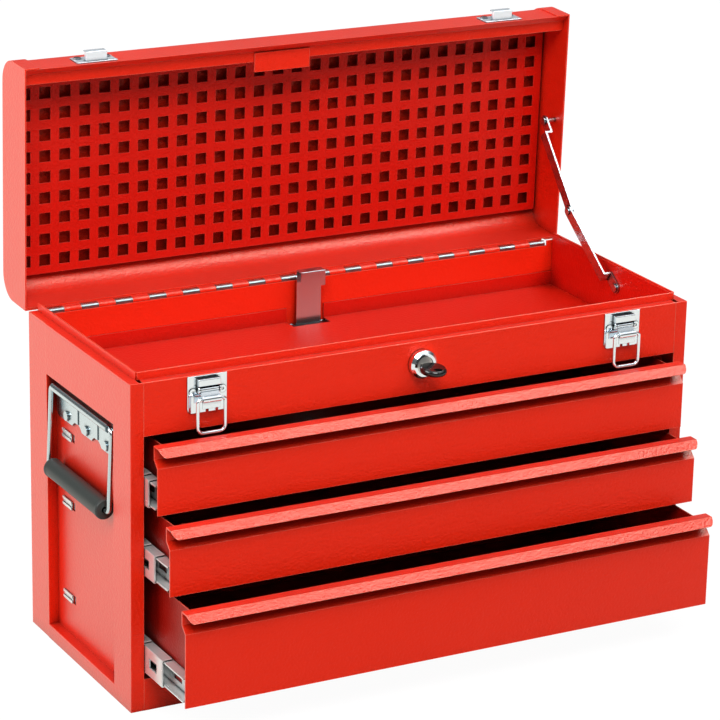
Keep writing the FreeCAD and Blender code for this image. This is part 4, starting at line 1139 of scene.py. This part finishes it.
@dataclass
class DrawLatch:
    """Chromed draw latch: plate, lever, bail and the strike on the lid."""

    bench: Bench
    side: Side
    plate_fold: float = 0.9 * MM
    strike_fold: float = 0.8 * MM
    plate_cut: float = 0.2 * MM
    lever_fold: float = 0.4 * MM
    lever_cut: float = 0.15 * MM

    def build(self) -> None:
        """Make the pressed plates and dress the wire parts."""
        plate, strike = f"latch_plate_{self.side}", f"lid_strike_{self.side}"
        self.bench.formed(plate, Look.CHROME, self.plate_fold, self.plate_cut)
        self.bench.formed(strike, Look.STRIKE, self.strike_fold, self.plate_cut)
        lever = f"latch_lever_{self.side}"
        self.bench.formed(lever, Look.CHROME, self.lever_fold, self.lever_cut)
        self.bench.smoothed(f"latch_pin_and_rivets_{self.side}", Look.CHROME)
        self.bench.smoothed(f"latch_bail_{self.side}", Look.CHROME)


@dataclass
class CylinderLock:
    """Cylinder lock with its nut, cam, plug and key."""

    bench: Bench

    def build(self) -> None:
        """Dress the lock and its key."""
        for node, look in (
            ("lock_body", Look.CHROME),
            ("lock_plug", Look.PLUG),
            ("lock_nut", Look.ZINC),
            ("lock_cam", Look.ZINC),
            ("key_blade", Look.KEY),
            ("key_bow", Look.PLASTIC),
        ):
            self.bench.smoothed(node, look)


@dataclass
class LockBar:
    """Zinc-plated upright bar that the lid pushes down, and its guides."""

    bench: Bench
    bar_fold: float = 2.0 * MM
    bar_cut: float = 0.25 * MM
    guide_fold: float = 0.8 * MM
    guide_cut: float = 0.2 * MM

    def build(self) -> None:
        """Make the bar and its guides."""
        self.bench.formed("lock_bar", Look.ZINC, self.bar_fold, self.bar_cut)
        self.bench.formed("lock_bar_guides", Look.ZINC, self.guide_fold, self.guide_cut)


@dataclass
class LidStay:
    """Two-link stay between the case and the lid."""

    bench: Bench

    def build(self) -> None:
        """Dress the links and pins."""
        for node in ("stay_lower_link", "stay_upper_link", "stay_pin_case", "stay_pin_lid"):
            self.bench.smoothed(node, Look.ZINC)


@dataclass
class SideHandle:
    """Drop handle: rolled bracket, wire and rubber grip with a raised ring at each end."""

    bench: Bench
    side: Side
    length: float = 108 * MM
    radius: float = 8.5 * MM
    bore: float = 2.6 * MM
    mouth_depth: float = 2.0 * MM
    mouth_flare: float = 0.4 * MM
    nose_drop: float = 2.0 * MM
    nose_turn: Span = (0.3 * MM, 0.6 * MM)
    ring: Span = (1.2 * MM, 3.6 * MM)
    waist_start: float = 4.2 * MM
    waist_drop: float = 0.35 * MM

    def build(self) -> None:
        """Turn the grip and dress the rest."""
        low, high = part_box(f"handle_grip_{self.side}")
        mesh = self.bench.lathed(self._outline(), (low + high) / 2, Vector(FORE_AND_AFT))
        grip = self.bench.piece(mesh, f"grip_{self.side}", f"handle_{self.side}", Look.RUBBER)
        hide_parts(f"handle_grip_{self.side}")
        self.bench.smoothed(f"handle_wire_{self.side}", Look.ZINC)
        self.bench.smoothed(f"handle_bracket_{self.side}", Look.ZINC)

    def _outline(self) -> list[Span]:
        """Draw the grip's closed outline, its two ends alike.

        Returns:
            (distance along the grip from its middle, radius) pairs.
        """
        turn_step, turn_drop = self.nose_turn
        ring_start, ring_stop = self.ring
        end = [
            (self.mouth_depth, self.bore),
            (0.0, self.bore + self.mouth_flare),
            (0.0, self.radius - self.nose_drop),
            (turn_step, self.radius - turn_drop),
            (ring_start, self.radius),
            (ring_stop, self.radius),
            (self.waist_start, self.radius - self.waist_drop),
        ]
        half = self.length / 2
        near = [(step - half, out) for step, out in end]
        far = [(half - step, out) for step, out in reversed(end)]
        return [*near, *far, near[0]]


@dataclass
class Rivets:
    """Rivets of the handles and strikes, one piece for each kind."""

    bench: Bench

    def build(self) -> None:
        """Dress both kinds."""
        self.bench.smoothed("handle_rivets", Look.ZINC)
        self.bench.smoothed("lid_strike_rivets", Look.CHROME)


# ---------------------------------------------------------------- studio


@dataclass(frozen=True)
class Lamp:
    """One soft box; it may be left out of mirror images or of the plain light."""

    name: str
    place: Point
    aim: Point
    width: float
    height: float
    power: float
    mirrored: bool = True
    lighting: bool = True

    def light(self) -> None:
        """Put the lamp in the scene, facing its aim."""
        data = bpy.data.lights.new(self.name, "AREA")
        data.shape = "RECTANGLE"
        data.size = self.width
        data.size_y = self.height
        data.energy = self.power
        item = bpy.data.objects.new(self.name, data)
        item.visible_glossy = self.mirrored
        item.visible_diffuse = self.lighting
        item.location = self.place
        gaze = Vector(self.aim) - Vector(self.place)
        item.rotation_euler = gaze.to_track_quat("-Z", "Y").to_euler()
        bpy.context.scene.collection.objects.link(item)


LAMPS = (
    Lamp(
        "overhead",
        place=(1.20, -1.00, 2.40),
        aim=(0.0, -0.05, 0.2),
        width=1.7,
        height=1.3,
        power=30.0,
        mirrored=False,
    ),
    Lamp(
        "overhead_sheen",
        place=(1.20, -1.00, 2.40),
        aim=(0.0, -0.05, 0.2),
        width=1.5,
        height=1.1,
        power=150.0,
        lighting=False,
    ),
    Lamp(
        "front",
        place=(-0.95, -1.75, 2.45),
        aim=(0.0, 0.0, 0.2),
        width=1.8,
        height=1.3,
        power=69.0,
    ),
    Lamp(
        "side",
        place=(-2.10, 0.55, 1.45),
        aim=(-0.25, 0.0, 0.15),
        width=1.2,
        height=1.1,
        power=33.5,
    ),
    Lamp(
        "rear",
        place=(0.95, 2.20, 1.90),
        aim=(0.0, 0.1, 0.2),
        width=1.6,
        height=1.2,
        power=42.0,
        mirrored=False,
    ),
)


@dataclass(frozen=True)
class Studio:
    """Camera, floor, world and lamps."""

    lens: float = 161.49
    sensor: float = 36.0
    near_clip: float = 0.05
    place: Point = (-1.2389, -2.2788, 1.1114)
    right: Point = (0.881702, -0.471381, 0.020042)
    forward: Point = (0.452221, 0.832224, -0.320779)
    backdrop: float = 1.0
    ambient: float = 0.13
    horizon: float = 0.12
    zenith: float = 1.0
    sky_band: Span = (0.36, 0.88)
    floor_half: float = 6.0
    floor_drop: float = 0.2 * MM
    floor_tone: float = 0.42
    floor_share: float = 0.86
    floor_glow: float = 1.12
    floor_front: float = 0.95
    floor_back: float = 1.10
    floor_band: Span = (-0.1, 0.35)
    floor_tint: Colour = (1.0, 0.96, 0.88)
    lamps: tuple[Lamp, ...] = LAMPS

    def build(self) -> None:
        """Set up the whole studio."""
        bpy.context.scene.view_settings.view_transform = "Standard"
        self._camera()
        self._world()
        self._floor()
        for lamp in self.lamps:
            lamp.light()

    def _camera(self) -> None:
        """Make the camera at the photograph's angle."""
        data = bpy.data.cameras.new("camera")
        data.lens = self.lens
        data.sensor_width = self.sensor
        data.sensor_fit = "HORIZONTAL"
        data.clip_start = self.near_clip
        camera = bpy.data.objects.new("camera", data)
        back = -Vector(self.forward).normalized()
        across = (Vector(self.right) - Vector(self.right).project(back)).normalized()
        turn = Matrix((across, back.cross(across), back)).transposed()
        camera.matrix_world = Matrix.Translation(self.place) @ turn.to_4x4()
        bpy.context.scene.collection.objects.link(camera)
        bpy.context.scene.camera = camera

    @staticmethod
    def _pick(
        tree: bpy.types.NodeTree,
        ray: Ray,
        other: bpy.types.NodeSocket | float,
        chosen: bpy.types.NodeSocket | float,
    ) -> bpy.types.NodeSocket:
        """Choose a value for one kind of ray.

        Args:
            tree: tree that gets the nodes.
            ray: kind of ray.
            other: value for every other ray.
            chosen: value for that ray.

        Returns:
            The chosen value socket.
        """
        path = tree.nodes.new("ShaderNodeLightPath")
        node = tree.nodes.new("ShaderNodeMix")
        tree.links.new(path.outputs[ray.value], node.inputs["Factor"])
        for word, value in (("A", other), ("B", chosen)):
            if isinstance(value, (int, float)):
                node.inputs[word].default_value = value
            else:
                tree.links.new(value, node.inputs[word])
        return node.outputs[0]

    def _world(self) -> None:
        """White to the camera, a bright sky over a dim horizon in reflections, plain light."""
        world = bpy.data.worlds.new("studio_air")
        world.use_nodes = True
        tree = world.node_tree
        back = tree.nodes["Background"]
        back.inputs["Color"].default_value = (*WHITE, 1.0)
        height = one_axis(tree, "Generated", "Z")
        sky = mapped(tree, height, self.sky_band, (self.horizon, self.zenith), smooth=True)
        level = self._pick(tree, Ray.GLOSSY, self.ambient, sky)
        for ray in (Ray.THROUGH, Ray.CAMERA):
            level = self._pick(tree, ray, level, self.backdrop)
        tree.links.new(level, back.inputs["Strength"])
        bpy.context.scene.world = world

    def _floor(self) -> None:
        """Lay the pale floor just under the object."""
        mesh = bmesh.new()
        bmesh.ops.create_grid(mesh, x_segments=1, y_segments=1, size=self.floor_half)
        data = bpy.data.meshes.new("floor")
        mesh.to_mesh(data)
        mesh.free()
        data.materials.append(self._floor_paint())
        floor = bpy.data.objects.new("floor", data)
        floor.location = (0.0, 0.0, -self.floor_drop)
        bpy.context.scene.collection.objects.link(floor)

    def _floor_paint(self) -> bpy.types.Material:
        """Mix a matt floor that keeps the shadow with a glow, brightest behind the object.

        Returns:
            The floor's material.
        """
        material = bpy.data.materials.new("pale_floor")
        material.use_nodes = True
        tree = material.node_tree
        matt = tree.nodes["Principled BSDF"]
        tone = self.floor_tone
        matt.inputs["Base Color"].default_value = (tone, tone, tone, 1.0)
        matt.inputs["Roughness"].default_value = 1.0
        matt.inputs["Specular IOR Level"].default_value = 0.0
        glow = tree.nodes.new("ShaderNodeEmission")
        glossy = self._pick(tree, Ray.GLOSSY, 0.0, 1.0)
        tree.links.new(mixed(tree, glossy, WHITE, self.floor_tint), glow.inputs["Color"])
        depth = one_axis(tree, "Object", "Y")
        levels = (self.floor_front, self.floor_back)
        seen = mapped(tree, depth, self.floor_band, levels, smooth=True)
        level = self._pick(tree, Ray.GLOSSY, self.floor_glow, seen)
        tree.links.new(level, glow.inputs["Strength"])
        share = self._pick(tree, Ray.GLOSSY, 0.0, 1.0)
        for ray in (Ray.THROUGH, Ray.CAMERA):
            share = self._pick(tree, ray, share, self.floor_share)
        blend = tree.nodes.new("ShaderNodeMixShader")
        tree.links.new(share, blend.inputs[0])
        tree.links.new(matt.outputs[0], blend.inputs[1])
        tree.links.new(glow.outputs[0], blend.inputs[2])
        tree.links.new(blend.outputs[0], tree.nodes["Material Output"].inputs["Surface"])
        return material


def main() -> None:
    """Load the frame, build every piece in order and report it."""
    logging.basicConfig(level=logging.INFO, format="%(name)s: %(message)s")
    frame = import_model()
    bench = Bench(frame)
    units = (
        CaseShell(bench),
        LidUnit(bench),
        *(DrawerUnit(bench, level) for level in Level),
        SlideSet(bench),
        PianoHinge(bench),
        *(DrawLatch(bench, side) for side in Side),
        CylinderLock(bench),
        LockBar(bench),
        LidStay(bench),
        *(SideHandle(bench, side) for side in Side),
        Rivets(bench),
    )
    for unit in units:
        unit.build()
    Studio().build()
    LOG.info("%d pieces made", len(bench.made))


if __name__ == "__main__":
    main()
